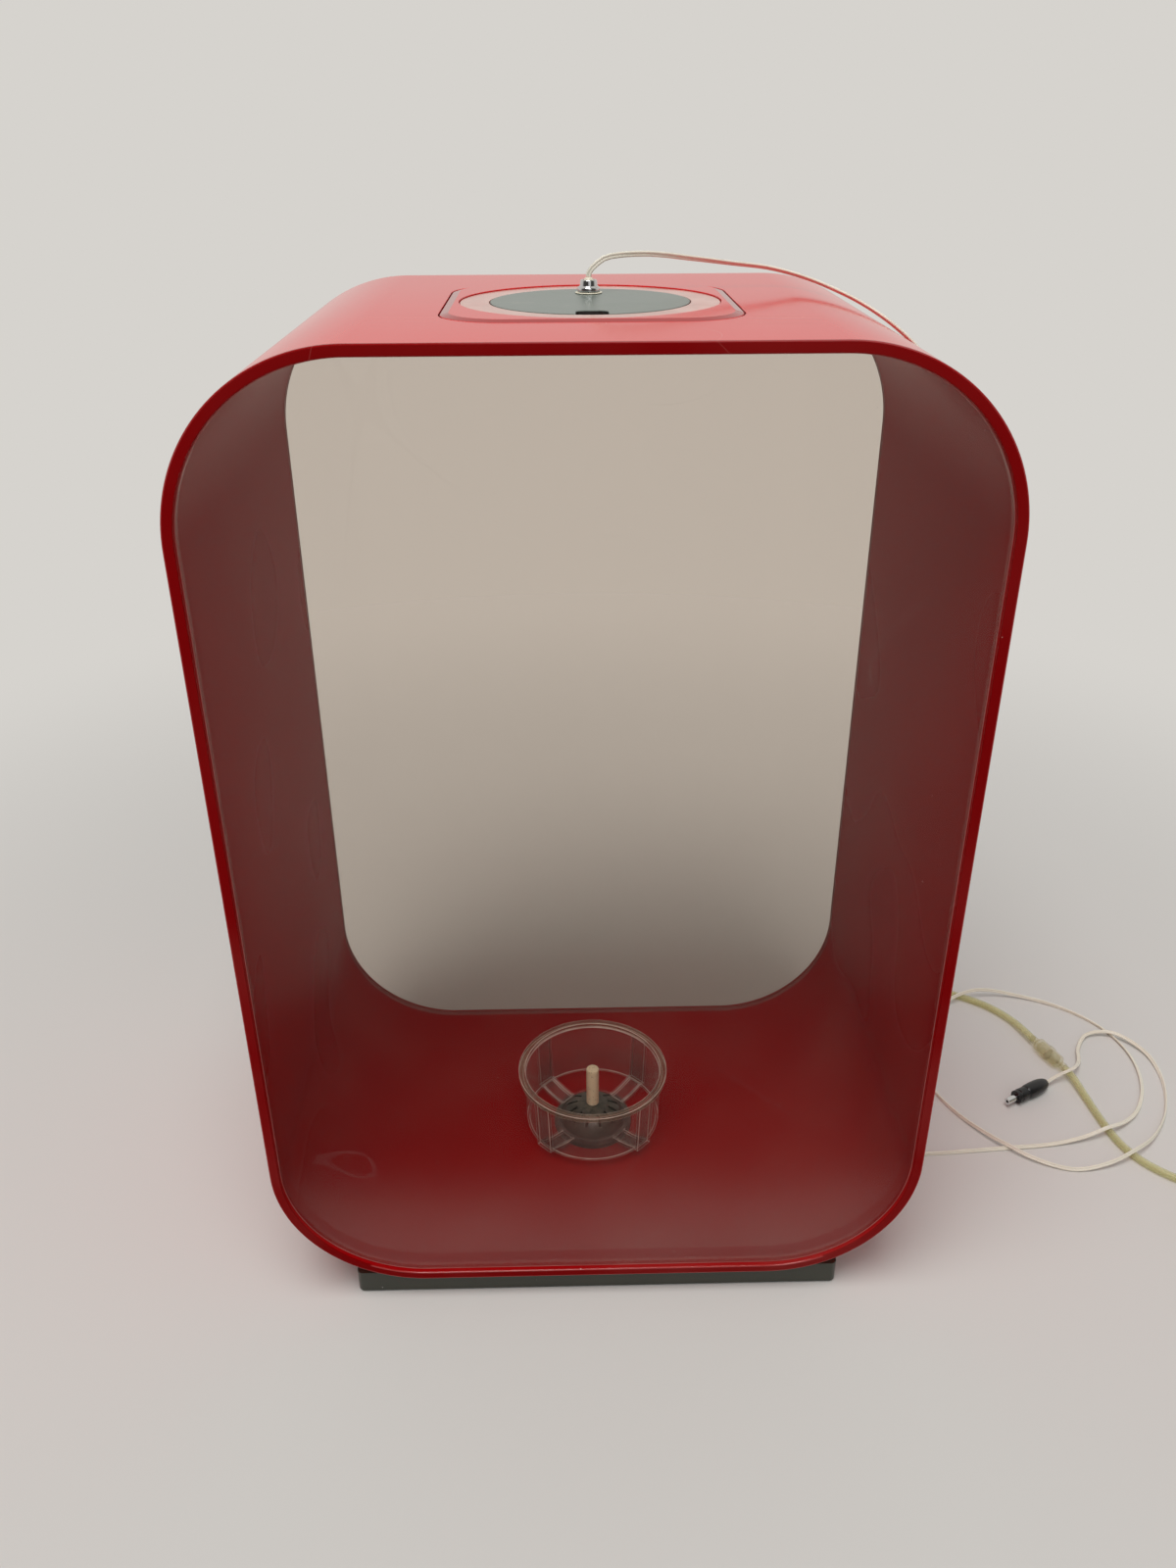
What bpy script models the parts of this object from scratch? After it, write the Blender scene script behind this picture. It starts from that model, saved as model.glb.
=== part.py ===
"""Home aquarium: a red band with clear ends, a lift-off lid with a light, and a filter cup.

Metres, +Z up. The origin is on the floor under the middle of the tank, and -Y is the front.
"""

import math

import bmesh
import bpy
from mathutils import Vector

# Clearances
GAP = 0.0003
LOOSE = 0.0006
MERGE = 0.00001
OVERRUN = 0.002

# Tank
TANK_WIDTH = 0.422
TANK_HEIGHT = 0.606
TANK_DEPTH = 0.282
TANK_WALL = 0.006
TANK_CORNER = 0.096
PANEL_THICKNESS = 0.005
PANEL_SET_BACK = 0.0035

# Plinth
PAD_RADIUS = 0.006
PAD_THICKNESS = 0.0012
PLINTH_WIDTH = 0.330
PLINTH_DEPTH = 0.270
PLINTH_HEIGHT = 0.0172
PLINTH_WALL = 0.014
PLINTH_DECK = 0.003
NUT_HOLE_RADIUS = 0.015
PLINTH_CORNER = 0.004
POCKET_CORNER = 0.004
PAD_INSET = 0.020
HOSE_SLOT_WIDTH = 0.016
HOSE_SLOT_HEIGHT = 0.010

# Lid and its ledge
LID_SIZE = 0.158
LID_CORNER = 0.034
LID_PROUD = 0.001
LEDGE_THICKNESS = 0.003
LEDGE_LAP = 0.005
LEDGE_BOND = 0.007

# Light, seen from above
RECESS_RADIUS = 0.072
RECESS_DEPTH = 0.004
LIGHT_HOLE_RADIUS = 0.060
FLANGE_DROP = 0.0007
FLANGE_SKIRT = 0.005
COVER_RADIUS = 0.0550
COVER_THICKNESS = 0.0033
COVER_PROUD = 0.0003
COVER_LEDGE = 0.0050
NOTCH_WIDTH = 0.017
NOTCH_LENGTH = 0.0145
NOTCH_CORNER = 0.003

# Light, inside
CAN_RADIUS = 0.038
CAN_BACK = 0.011
CAN_DEPTH = 0.0162
CAN_WALL = 0.002
CAN_STEP = 0.0025
CAN_LIP = 0.0035
CAN_LIP_THICKNESS = 0.0015
GASKET_WIDTH = 0.0024
GASKET_THICKNESS = 0.001
LENS_THICKNESS = 0.0018
EMITTER_RADIUS = 0.014
EMITTER_HEIGHT = 0.0014
BOARD_THICKNESS = 0.0016
SINK_THICKNESS = 0.0032
LUG_RADIUS = 0.004
LUG_HEIGHT = 0.004
LUG_ANGLES = (-5, 185, -50, 230)
SCREW_RADIUS = 0.0012
SCREW_HEAD_RADIUS = 0.0028
SCREW_HEAD_HEIGHT = 0.0018
SCREW_BITE = 0.0018

# Cable gland
GLAND_BACK = 0.033
GLAND_BASE_RADIUS = 0.0065
GLAND_TOP_RADIUS = 0.0048
GLAND_HEIGHT = 0.0062
GLAND_STEM_RADIUS = 0.0035
GLAND_BORE_RADIUS = 0.0033
GLAND_BORE_DEPTH = 0.0045
WASHER_RADIUS = 0.0078
WASHER_THICKNESS = 0.0005
GLAND_NUT_FLATS = 0.0098
GLAND_NUT_HEIGHT = 0.0028
BUSH_PROUD = 0.0014

# Air inlet under the filter
INLET_HOLE_RADIUS = 0.0066
INLET_STEM_RADIUS = 0.006
INLET_BORE_RADIUS = 0.0022
INLET_FLANGE_RADIUS = 0.014
INLET_FLANGE_THICKNESS = 0.003
INLET_STEM_BELOW = 0.0085
RISER_RADIUS = 0.004
RISER_HEIGHT = 0.013
SEAL_WIDTH = 0.0065
SEAL_THICKNESS = 0.0012
INLET_NUT_FLATS = 0.020
INLET_NUT_HEIGHT = 0.0055
ELBOW_RADIUS = 0.0052
ELBOW_HEIGHT = 0.0078
ELBOW_SPOUT_RADIUS = 0.0032
ELBOW_SPOUT_LENGTH = 0.016

# Filter
HUB_FLANGE_RADIUS = 0.0295
HUB_FLANGE_THICKNESS = 0.0037
HUB_RADIUS = 0.0245
HUB_HEIGHT = 0.0195
HUB_TOP_RADIUS = 0.0065
HUB_WALL = 0.003
HUB_SLOTS = 12
HUB_SLOT_WIDTH = 0.002
HUB_SLOT_INNER = 0.012
HUB_SLOT_OUTER = 0.0205
SOCKET_RADIUS = 0.0026
CAGE_RIM_RADIUS = 0.056
CAGE_RIM_WIDTH = 0.004
CAGE_RIM_THICKNESS = 0.0035
CAGE_TOP = 0.055
CAGE_BASE = 0.009
CAGE_BASE_RADIUS = 0.0505
CAGE_WALL = 0.002
CAGE_RING_WIDTH = 0.0041
CAGE_RING_HEIGHT = 0.0027
SPOKE_COUNT = 4
SPOKE_WIDTH = 0.014
SPOKE_THICKNESS = 0.0025
RIB_PROUD = 0.001
STONE_RADIUS = 0.00475
STONE_LENGTH = 0.0337
STONE_CHAMFER = 0.0005
NIPPLE_RADIUS = 0.0022

# Air hose, valve and coil
HOSE_RADIUS = 0.003
VALVE_RADIUS = 0.0065
VALVE_LENGTH = 0.026
VALVE_SPIGOT_RADIUS = 0.0032
VALVE_SPIGOT_LENGTH = 0.007
VALVE_BORE_RADIUS = 0.0015
VALVE_SHELL = 0.0016
VALVE_CAP = 0.003
VALVE_DISC_RADIUS = 0.0042
VALVE_DISC_THICKNESS = 0.001
VALVE_PLACE = (0.393, 0.091, 0.0068)
VALVE_HEADING = -69.8
COIL_TURNS_PER_LAYER = 2
COIL_LAYERS = 2
COIL_PITCH = 0.0066
COIL_RADIUS = 0.0385
COIL_LIFT = 0.0042
COIL_CENTRE = (0.474, -0.108)
COIL_START = 64
COIL_POINTS_PER_TURN = 24
COIL_LEAST_GAP = 0.0004
TIE_ANGLE = 230
TIE_WIDTH = 0.008
TIE_THICKNESS = 0.0008

# Light lead and plug
LEAD_RADIUS = 0.0014
PLUG_PLACE = (0.379, 0.055, 0.0067)
PLUG_HEADING = 208.7
PLUG_LENGTH = 0.026
PLUG_RADIUS = 0.0062
PLUG_NECK_LENGTH = 0.010
PLUG_NECK_RADIUS = 0.0055
SLEEVE_LENGTH = 0.0095
SLEEVE_RADIUS = 0.00275
SLEEVE_BORE_RADIUS = 0.00125

# Heights worked out from the sizes above
PLINTH_BOTTOM = PAD_THICKNESS + GAP
TANK_BOTTOM = PLINTH_BOTTOM + PLINTH_HEIGHT + GAP
TANK_FLOOR = TANK_BOTTOM + TANK_WALL
TANK_TOP = TANK_BOTTOM + TANK_HEIGHT
LEDGE_TOP = TANK_TOP - TANK_WALL - GAP
LID_BOTTOM = LEDGE_TOP + GAP
LID_TOP = TANK_TOP + LID_PROUD
FLANGE_TOP = LID_TOP - FLANGE_DROP
FLANGE_BOTTOM = LID_TOP - RECESS_DEPTH + GAP
COVER_TOP = FLANGE_TOP + COVER_PROUD
COVER_BOTTOM = COVER_TOP - COVER_THICKNESS
CAN_TOP = COVER_BOTTOM - GAP
CAN_BOTTOM = CAN_TOP - CAN_DEPTH
LENS_BOTTOM = CAN_BOTTOM + CAN_LIP_THICKNESS + GASKET_THICKNESS + 2 * GAP
EMITTER_BOTTOM = LENS_BOTTOM + LENS_THICKNESS + GAP
BOARD_BOTTOM = EMITTER_BOTTOM + EMITTER_HEIGHT + GAP
SINK_BOTTOM = BOARD_BOTTOM + BOARD_THICKNESS + GAP
WASHER_BOTTOM = COVER_TOP + GAP
GLAND_BOTTOM = WASHER_BOTTOM + WASHER_THICKNESS + GAP
GLAND_TOP = GLAND_BOTTOM + GLAND_HEIGHT
BUSH_TOP = GLAND_TOP + BUSH_PROUD
INLET_FLANGE_BOTTOM = TANK_FLOOR + SEAL_THICKNESS + 2 * GAP
INLET_STEM_BOTTOM = TANK_BOTTOM - INLET_STEM_BELOW
ELBOW_TOP = INLET_STEM_BOTTOM - GAP
ELBOW_SPOUT_HEIGHT = ELBOW_TOP - ELBOW_HEIGHT / 2
HUB_BOTTOM = TANK_FLOOR + GAP
CAGE_RING_BOTTOM = HUB_BOTTOM + HUB_FLANGE_THICKNESS + GAP
STONE_BOTTOM = TANK_FLOOR + HUB_HEIGHT + GAP

# Routes of the free cords, chosen by hand from the gland and from the elbow outwards
LEAD_ROUTE = [
    (0.0000, GLAND_BACK, BUSH_TOP + GAP), (0.0002, 0.0330, 0.6366), (0.0022, 0.0336, 0.6391),
    (0.0053, 0.0347, 0.6416), (0.0087, 0.0359, 0.6437), (0.0130, 0.0373, 0.6448),
    (0.0185, 0.0391, 0.6453), (0.0255, 0.0414, 0.6455), (0.0345, 0.0445, 0.6453),
    (0.0451, 0.0480, 0.6443), (0.0567, 0.0520, 0.6426), (0.0703, 0.0562, 0.6407),
    (0.0841, 0.0600, 0.6387), (0.0970, 0.0628, 0.6371), (0.1068, 0.0632, 0.6358),
    (0.1198, 0.0595, 0.6331), (0.1316, 0.0500, 0.6300), (0.1426, 0.0370, 0.6262),
    (0.1534, 0.0250, 0.6216), (0.1625, 0.0170, 0.6166), (0.1735, 0.0105, 0.6092),
    (0.1865, 0.0055, 0.5978), (0.2030, 0.0000, 0.5742),
    (0.2120, -0.0040, 0.5486), (0.2137, -0.0070, 0.5200), (0.2137, -0.0120, 0.4300),
    (0.2137, -0.0160, 0.3300), (0.2138, -0.0185, 0.2300), (0.2140, -0.0195, 0.1400),
    (0.2156, -0.0192, 0.0800), (0.2200, -0.0190, 0.0420),
    (0.2290, -0.0188, 0.0160), (0.2440, -0.0184, 0.0038), (0.2650, -0.0175, 0.0018),
    (0.2950, -0.0155, 0.0018), (0.3280, -0.0130, 0.0018), (0.3600, -0.0105, 0.0020),
    (0.3860, -0.0070, 0.0052), (0.4080, -0.0005, 0.0088), (0.4260, 0.0090, 0.0052),
    (0.4440, 0.0260, 0.0019), (0.4600, 0.0560, 0.0018), (0.4650, 0.0930, 0.0018),
    (0.4550, 0.1280, 0.0018), (0.4300, 0.1570, 0.0018), (0.3960, 0.1740, 0.0034),
    (0.3560, 0.1765, 0.0092), (0.3220, 0.1620, 0.0060), (0.2960, 0.1360, 0.0020),
    (0.2810, 0.1000, 0.0018), (0.2830, 0.0600, 0.0018), (0.2960, 0.0260, 0.0022),
    (0.3150, -0.0040, 0.0050), (0.3240, -0.0135, 0.0056), (0.3400, -0.0265, 0.0042),
    (0.3680, -0.0370, 0.0020), (0.3950, -0.0350, 0.0052), (0.4200, -0.0250, 0.0089),
    (0.4430, -0.0070, 0.0052), (0.4660, 0.0240, 0.0019), (0.4800, 0.0640, 0.0018),
    (0.4780, 0.0960, 0.0034), (0.4580, 0.1180, 0.0058), (0.4370, 0.1180, 0.0040),
    (0.4230, 0.1010, 0.0034), (0.4150, 0.0800, 0.0067), (0.4040, 0.0655, 0.0118),
    (0.3900, 0.0610, 0.0085), (0.3793, 0.0552, 0.0067),
]
HOSE_ROUTE = [
    (0.0000, ELBOW_SPOUT_LENGTH + GAP, ELBOW_SPOUT_HEIGHT), (0.0000, 0.0320, 0.0062),
    (0.0000, 0.0520, 0.0052), (0.0005, 0.0800, 0.0036), (0.0015, 0.1060, 0.0032),
    (0.0030, 0.1300, 0.0032), (0.0067, 0.1440, 0.0032), (0.0170, 0.1542, 0.0032),
    (0.0310, 0.1580, 0.0032), (0.0700, 0.1590, 0.0032), (0.1100, 0.1600, 0.0032),
    (0.1500, 0.1640, 0.0032), (0.1900, 0.1715, 0.0032), (0.2300, 0.1800, 0.0032),
    (0.2700, 0.1870, 0.0032), (0.3020, 0.1875, 0.0032), (0.3300, 0.1810, 0.0032),
    (0.3600, 0.1620, 0.0032), (0.3760, 0.1410, 0.0042), (0.3830, 0.1210, 0.0062),
]
TAIL_ROUTE = [
    (0.4030, 0.0620, 0.0064), (0.4060, 0.0440, 0.0040), (0.4080, 0.0250, 0.0032),
    (0.4105, 0.0040, 0.0032), (0.4150, -0.0150, 0.0032), (0.4240, -0.0320, 0.0032),
    (0.4400, -0.0480, 0.0034), (0.4600, -0.0600, 0.0042),
]
HOSE_SPACING = 0.012
LEAD_SPACING = 0.030

for old in list(bpy.data.objects):
    bpy.data.objects.remove(old)


def new_collection(name):
    made = bpy.data.collections.new(name)
    bpy.context.scene.collection.children.link(made)
    return made


PARTS = new_collection("aquarium")
TOOLS = new_collection("cutters")


def empty_at(name, place):
    """An empty that carries the pieces of one moving body."""
    empty = bpy.data.objects.new(name, None)
    empty.location = place
    PARTS.objects.link(empty)
    bpy.context.view_layer.update()
    return empty


LID = empty_at("lid_axis", (0, 0, LID_BOTTOM))
CAGE = empty_at("cage_axis", (0, 0, TANK_FLOOR))
STONE = empty_at("stone_axis", (0, 0, STONE_BOTTOM))


def finish(piece, colour, roughness, metallic=0.0, see_through=0.0):
    """Give a piece its own Principled material and return the piece."""
    material = bpy.data.materials.new(piece.name + "_finish")
    material.use_nodes = True
    shader = material.node_tree.nodes["Principled BSDF"]
    shader.inputs["Base Color"].default_value = (*colour, 1)
    shader.inputs["Roughness"].default_value = roughness
    shader.inputs["Metallic"].default_value = metallic
    shader.inputs["Transmission Weight"].default_value = see_through
    piece.data.materials.append(material)
    return piece


def carried_by(empty, *pieces):
    """Parent pieces to the empty of their moving body, where they stand."""
    for piece in pieces:
        piece.parent = empty
        piece.matrix_parent_inverse = empty.matrix_world.inverted()


def as_tool(piece):
    """Mark a piece as a cutter or as one half of a union."""
    piece.hide_render = True
    piece.display_type = "WIRE"
    PARTS.objects.unlink(piece)
    TOOLS.objects.link(piece)
    return piece


def combine(piece, operation, *tools):
    for tool in tools:
        step = piece.modifiers.new(operation.title(), "BOOLEAN")
        step.operation = operation
        step.object = as_tool(tool)
    return piece


def circle(radius, steps):
    angles = [2 * math.pi * i / steps for i in range(steps)]
    return [(radius * math.cos(a), radius * math.sin(a)) for a in angles]


def hexagon(across_flats):
    return circle(across_flats / math.sqrt(3), 6)


def rectangle(width, height):
    return [(x * width / 2, y * height / 2) for x, y in ((1, 1), (-1, 1), (-1, -1), (1, -1))]


def arc(x, y, radius, start, end, steps):
    """Points on an arc from start to end degrees."""
    angles = [math.radians(start + (end - start) * i / steps) for i in range(steps + 1)]
    return [(x + radius * math.cos(a), y + radius * math.sin(a)) for a in angles]


def rounded_rectangle(width, height, radius, steps=12):
    x, y = width / 2 - radius, height / 2 - radius
    outline = arc(x, y, radius, 0, 90, steps) + arc(-x, y, radius, 90, 180, steps)
    return outline + arc(-x, -y, radius, 180, 270, steps) + arc(x, -y, radius, 270, 360, steps)


def mesh_from_curve(draft):
    """Replace a curve object by a welded mesh object of the same name and place."""
    bpy.context.view_layer.update()
    evaluated = draft.evaluated_get(bpy.context.evaluated_depsgraph_get())
    mesh = bpy.data.meshes.new_from_object(evaluated)
    welder = bmesh.new()
    welder.from_mesh(mesh)
    bmesh.ops.remove_doubles(welder, verts=welder.verts, dist=MERGE)
    bmesh.ops.recalc_face_normals(welder, faces=welder.faces)
    welder.to_mesh(mesh)
    welder.free()
    mesh.shade_smooth()
    mesh.set_sharp_from_angle(angle=math.radians(30))
    name, place = draft.name, draft.matrix_world.copy()
    bpy.data.objects.remove(draft)
    piece = bpy.data.objects.new(name, mesh)
    piece.matrix_world = place
    PARTS.objects.link(piece)
    return piece


def slab(name, outlines, thickness, place=(0, 0, 0), turn=(0, 0, 0)):
    """A plate from a flat outline and its holes, with place at the middle of its thickness."""
    curve = bpy.data.curves.new(name, "CURVE")
    curve.dimensions = "2D"
    curve.fill_mode = "BOTH"
    curve.extrude = thickness / 2
    for outline in outlines:
        spline = curve.splines.new("POLY")
        spline.points.add(len(outline) - 1)
        spline.use_cyclic_u = True
        for point, (x, y) in zip(spline.points, outline):
            point.co = (x, y, 0, 1)
    draft = bpy.data.objects.new(name, curve)
    draft.location = place
    draft.rotation_euler = turn
    PARTS.objects.link(draft)
    return mesh_from_curve(draft)


def plate(name, outlines, bottom, top, x=0.0, y=0.0):
    """A level slab between two heights."""
    return slab(name, outlines, top - bottom, (x, y, (bottom + top) / 2))


def turned(name, profile, steps=40, place=(0, 0, 0), turn=(0, 0, 0)):
    """A turned piece. The profile runs down its outer side, and closes on itself or on the axis."""
    mesh = bpy.data.meshes.new(name)
    edges = [(i, i + 1) for i in range(len(profile) - 1)]
    if profile[0][0] > 0:
        edges.append((len(profile) - 1, 0))
    mesh.from_pydata([(radius, 0, height) for radius, height in profile], edges, [])
    piece = bpy.data.objects.new(name, mesh)
    piece.location = place
    piece.rotation_euler = turn
    PARTS.objects.link(piece)
    screw = piece.modifiers.new("Turn", "SCREW")
    screw.steps = steps
    screw.render_steps = steps
    screw.use_merge_vertices = True
    screw.merge_threshold = MERGE
    return piece


def ring(name, inner, outer, bottom, top, steps=40, x=0.0, y=0.0):
    profile = [(inner, top), (outer, top), (outer, bottom), (inner, bottom)]
    return turned(name, profile, steps, (x, y, 0))


def disc(name, radius, bottom, top, steps=40, x=0.0, y=0.0):
    profile = [(0, top), (radius, top), (radius, bottom), (0, bottom)]
    return turned(name, profile, steps, (x, y, 0))


def smooth_route(points, spacing):
    """Points on a centripetal Catmull-Rom curve: the route's own, and more where those are far apart."""
    knots = [Vector(p) for p in points]
    knots = [2 * knots[0] - knots[1], *knots, 2 * knots[-1] - knots[-2]]
    route = []
    for before, start, end, after in zip(knots, knots[1:], knots[2:], knots[3:]):
        first = math.sqrt((start - before).length)
        second = first + math.sqrt((end - start).length)
        third = second + math.sqrt((after - end).length)
        steps = max(1, round((end - start).length / spacing))
        for i in range(steps):
            t = first + (second - first) * i / steps
            early = before.lerp(start, t / first)
            middle = start.lerp(end, (t - first) / (second - first))
            late = end.lerp(after, (t - second) / (third - second))
            lead_in = early.lerp(middle, t / second)
            lead_out = middle.lerp(late, (t - first) / (third - first))
            route.append(lead_in.lerp(lead_out, (t - first) / (second - first)))
    route.append(knots[-2])
    return route


def tube(name, points, radius, resolution):
    """A round cord or hose along its points, with closed ends."""
    curve = bpy.data.curves.new(name, "CURVE")
    curve.dimensions = "3D"
    curve.bevel_depth = radius
    curve.bevel_resolution = resolution
    curve.use_fill_caps = True
    spline = curve.splines.new("POLY")
    spline.points.add(len(points) - 1)
    for point, place in zip(spline.points, points):
        point.co = (*place, 1)
    piece = bpy.data.objects.new(name, curve)
    PARTS.objects.link(piece)
    return piece


def least_gap(points, radius, skipped):
    """Smallest clear distance between a tube's own turns, past the skipped length either way."""
    least = math.inf
    spacing = (points[1] - points[0]).length
    apart = math.ceil(skipped / spacing)
    for i, a in enumerate(points):
        for b in points[i + apart:]:
            least = min(least, (b - a).length - 2 * radius)
    return least


# Tank: the band and its two panels are outlines in the XZ plane, extruded along Y
UPRIGHT = (math.pi / 2, 0, 0)
TANK_MIDDLE = TANK_BOTTOM + TANK_HEIGHT / 2


def tank_outline(inset):
    return rounded_rectangle(TANK_WIDTH - 2 * inset, TANK_HEIGHT - 2 * inset, TANK_CORNER - inset)


def lid_outline(grown):
    return rounded_rectangle(LID_SIZE + 2 * grown, LID_SIZE + 2 * grown, LID_CORNER + grown, 8)


band_outlines = [tank_outline(0), tank_outline(TANK_WALL)]
band = slab("tank_band", band_outlines, TANK_DEPTH, (0, 0, TANK_MIDDLE), UPRIGHT)
combine(
    band, "DIFFERENCE",
    plate("lid_opening", [lid_outline(LOOSE)], TANK_TOP - TANK_WALL - OVERRUN, TANK_TOP + OVERRUN),
    plate("inlet_hole", [circle(INLET_HOLE_RADIUS, 32)], TANK_BOTTOM - OVERRUN, TANK_FLOOR + OVERRUN),
)
finish(band, (0.35, 0.005, 0.008), 0.12)

PANEL_Y = TANK_DEPTH / 2 - PANEL_SET_BACK - PANEL_THICKNESS / 2
for panel_name, side in (("front_panel", -1), ("rear_panel", 1)):
    panel = slab(
        panel_name, [tank_outline(TANK_WALL + GAP)], PANEL_THICKNESS,
        (0, side * PANEL_Y, TANK_MIDDLE), UPRIGHT,
    )
    finish(panel, (0.95, 0.96, 0.95), 0.04, see_through=1.0)

# Plinth: a tray upside down, with a hole for the inlet's nut and a slot at the rear for the air hose
PLINTH_TOP = PLINTH_BOTTOM + PLINTH_HEIGHT
plinth = plate(
    "plinth", [rounded_rectangle(PLINTH_WIDTH, PLINTH_DEPTH, PLINTH_CORNER, 4)], PLINTH_BOTTOM, PLINTH_TOP
)
pocket_outline = rounded_rectangle(
    PLINTH_WIDTH - 2 * PLINTH_WALL, PLINTH_DEPTH - 2 * PLINTH_WALL, POCKET_CORNER, 4
)
SLOT_MIDDLE = (PLINTH_DEPTH - PLINTH_WALL) / 2
SLOT_TOP = PLINTH_BOTTOM + HOSE_SLOT_HEIGHT
slot_outline = rectangle(HOSE_SLOT_WIDTH, PLINTH_WALL + 2 * OVERRUN)
combine(
    plinth, "DIFFERENCE",
    plate("plinth_pocket", [pocket_outline], PLINTH_BOTTOM - OVERRUN, PLINTH_TOP - PLINTH_DECK),
    plate("nut_hole", [circle(NUT_HOLE_RADIUS, 32)], PLINTH_BOTTOM, PLINTH_TOP + OVERRUN),
    plate("hose_slot", [slot_outline], PLINTH_BOTTOM - OVERRUN, SLOT_TOP, y=SLOT_MIDDLE),
)
finish(plinth, (0.03, 0.034, 0.03), 0.15)

pad_x = (PLINTH_WIDTH - PLINTH_WALL) / 2
pad_y = PLINTH_DEPTH / 2 - PAD_INSET
for depth, y in (("front", -pad_y), ("rear", pad_y)):
    for side, x in (("left", -pad_x), ("right", pad_x)):
        pad = disc(f"{depth}_{side}_pad", PAD_RADIUS, 0, PAD_THICKNESS, 20, x, y)
        finish(pad, (0.02, 0.02, 0.02), 0.8)

# Lid: a ledge bonded under the opening, and the plate that drops into the opening on to it
ledge_outlines = [lid_outline(LEDGE_BOND), lid_outline(-LEDGE_LAP)]
ledge = plate("lid_ledge", ledge_outlines, LEDGE_TOP - LEDGE_THICKNESS, LEDGE_TOP)
finish(ledge, (0.9, 0.9, 0.9), 0.08, see_through=1.0)

lid = plate("lid_plate", [lid_outline(0)], LID_BOTTOM, LID_TOP)
combine(
    lid, "DIFFERENCE",
    disc("light_hole", LIGHT_HOLE_RADIUS, LID_BOTTOM - OVERRUN, LID_TOP + OVERRUN, 48),
    disc("light_recess", RECESS_RADIUS, LID_TOP - RECESS_DEPTH, LID_TOP + OVERRUN, 48),
)
finish(lid, (0.38, 0.008, 0.01), 0.12)


# Light: a clear flange in the lid's recess, and the grey cover that sits in the flange
def feeding_notch(name, front, bottom, top):
    """The notch's outline, straight in from the front with two round corners at the back, as a cutter."""
    half = NOTCH_WIDTH / 2
    corner_x = half - NOTCH_CORNER
    corner_y = -COVER_RADIUS + NOTCH_LENGTH - NOTCH_CORNER
    outline = arc(corner_x, corner_y, NOTCH_CORNER, 0, 90, 4)
    outline += arc(-corner_x, corner_y, NOTCH_CORNER, 90, 180, 4)
    outline += [(-half, front), (half, front)]
    return plate(name, [outline], bottom, top)


COVER_SEAT_RADIUS = COVER_RADIUS + LOOSE
FLANGE_RADIUS = RECESS_RADIUS - LOOSE
SKIRT_RADIUS = LIGHT_HOLE_RADIUS - LOOSE
COVER_SEAT = COVER_BOTTOM - GAP
COVER_SEAT_INNER = COVER_RADIUS - COVER_LEDGE
SKIRT_BOTTOM = FLANGE_BOTTOM - FLANGE_SKIRT
flange = turned(
    "light_flange",
    [
        (COVER_SEAT_RADIUS, FLANGE_TOP), (FLANGE_RADIUS, FLANGE_TOP), (FLANGE_RADIUS, FLANGE_BOTTOM),
        (SKIRT_RADIUS, FLANGE_BOTTOM), (SKIRT_RADIUS, SKIRT_BOTTOM), (COVER_SEAT_INNER, SKIRT_BOTTOM),
        (COVER_SEAT_INNER, COVER_SEAT), (COVER_SEAT_RADIUS, COVER_SEAT),
    ],
    48,
)
NOTCH_FRONT = -COVER_RADIUS + LOOSE
combine(
    flange, "DIFFERENCE",
    feeding_notch("flange_notch", NOTCH_FRONT, SKIRT_BOTTOM - OVERRUN, COVER_SEAT + OVERRUN / 2),
)
finish(flange, (0.85, 0.78, 0.74), 0.2, see_through=0.6)

LUG_RING = CAN_RADIUS + LUG_RADIUS
lug_headings = [math.radians(a) for a in LUG_ANGLES]
lug_places = [(LUG_RING * math.cos(a), CAN_BACK + LUG_RING * math.sin(a)) for a in lug_headings]
SCREW_TOP = COVER_BOTTOM + SCREW_BITE
SCREW_HOLE_RADIUS = SCREW_RADIUS + GAP
STEM_HOLE_RADIUS = GLAND_STEM_RADIUS + GAP


def screw_holes(name, bottom, top):
    places = enumerate(lug_places)
    return [disc(f"{name}_{i}", SCREW_HOLE_RADIUS, bottom, top, 12, x, y) for i, (x, y) in places]


cover = disc("light_cover", COVER_RADIUS, COVER_BOTTOM, COVER_TOP, 48)
combine(
    cover, "DIFFERENCE",
    feeding_notch("cover_notch", -COVER_RADIUS - OVERRUN, COVER_BOTTOM - OVERRUN, COVER_TOP + OVERRUN),
    disc("stem_hole", STEM_HOLE_RADIUS, COVER_BOTTOM - OVERRUN, COVER_TOP + OVERRUN, 24, y=GLAND_BACK),
    *screw_holes("cover_screw_hole", COVER_BOTTOM - OVERRUN, SCREW_TOP + GAP),
)
finish(cover, (0.40, 0.42, 0.38), 0.35)

# Inside of the light, stacked upwards in the can from its lip: gasket, lens, emitter, board, heat sink
CAN_INNER = CAN_RADIUS - CAN_WALL
CAN_LOWER = CAN_INNER - CAN_STEP
CAN_MOUTH = CAN_LOWER - CAN_LIP
CAN_LIP_TOP = CAN_BOTTOM + CAN_LIP_THICKNESS
SINK_SEAT = SINK_BOTTOM - GAP
can = turned(
    "light_can",
    [
        (CAN_INNER, CAN_TOP), (CAN_RADIUS, CAN_TOP), (CAN_RADIUS, CAN_BOTTOM), (CAN_MOUTH, CAN_BOTTOM),
        (CAN_MOUTH, CAN_LIP_TOP), (CAN_LOWER, CAN_LIP_TOP), (CAN_LOWER, SINK_SEAT), (CAN_INNER, SINK_SEAT),
    ],
    48, (0, CAN_BACK, 0),
)
LUG_BOTTOM = CAN_TOP - LUG_HEIGHT
lug_tools = [
    disc(f"can_lug_{i}", LUG_RADIUS + CAN_WALL / 2, LUG_BOTTOM, CAN_TOP, 20, x, y)
    for i, (x, y) in enumerate(lug_places)
]
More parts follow.
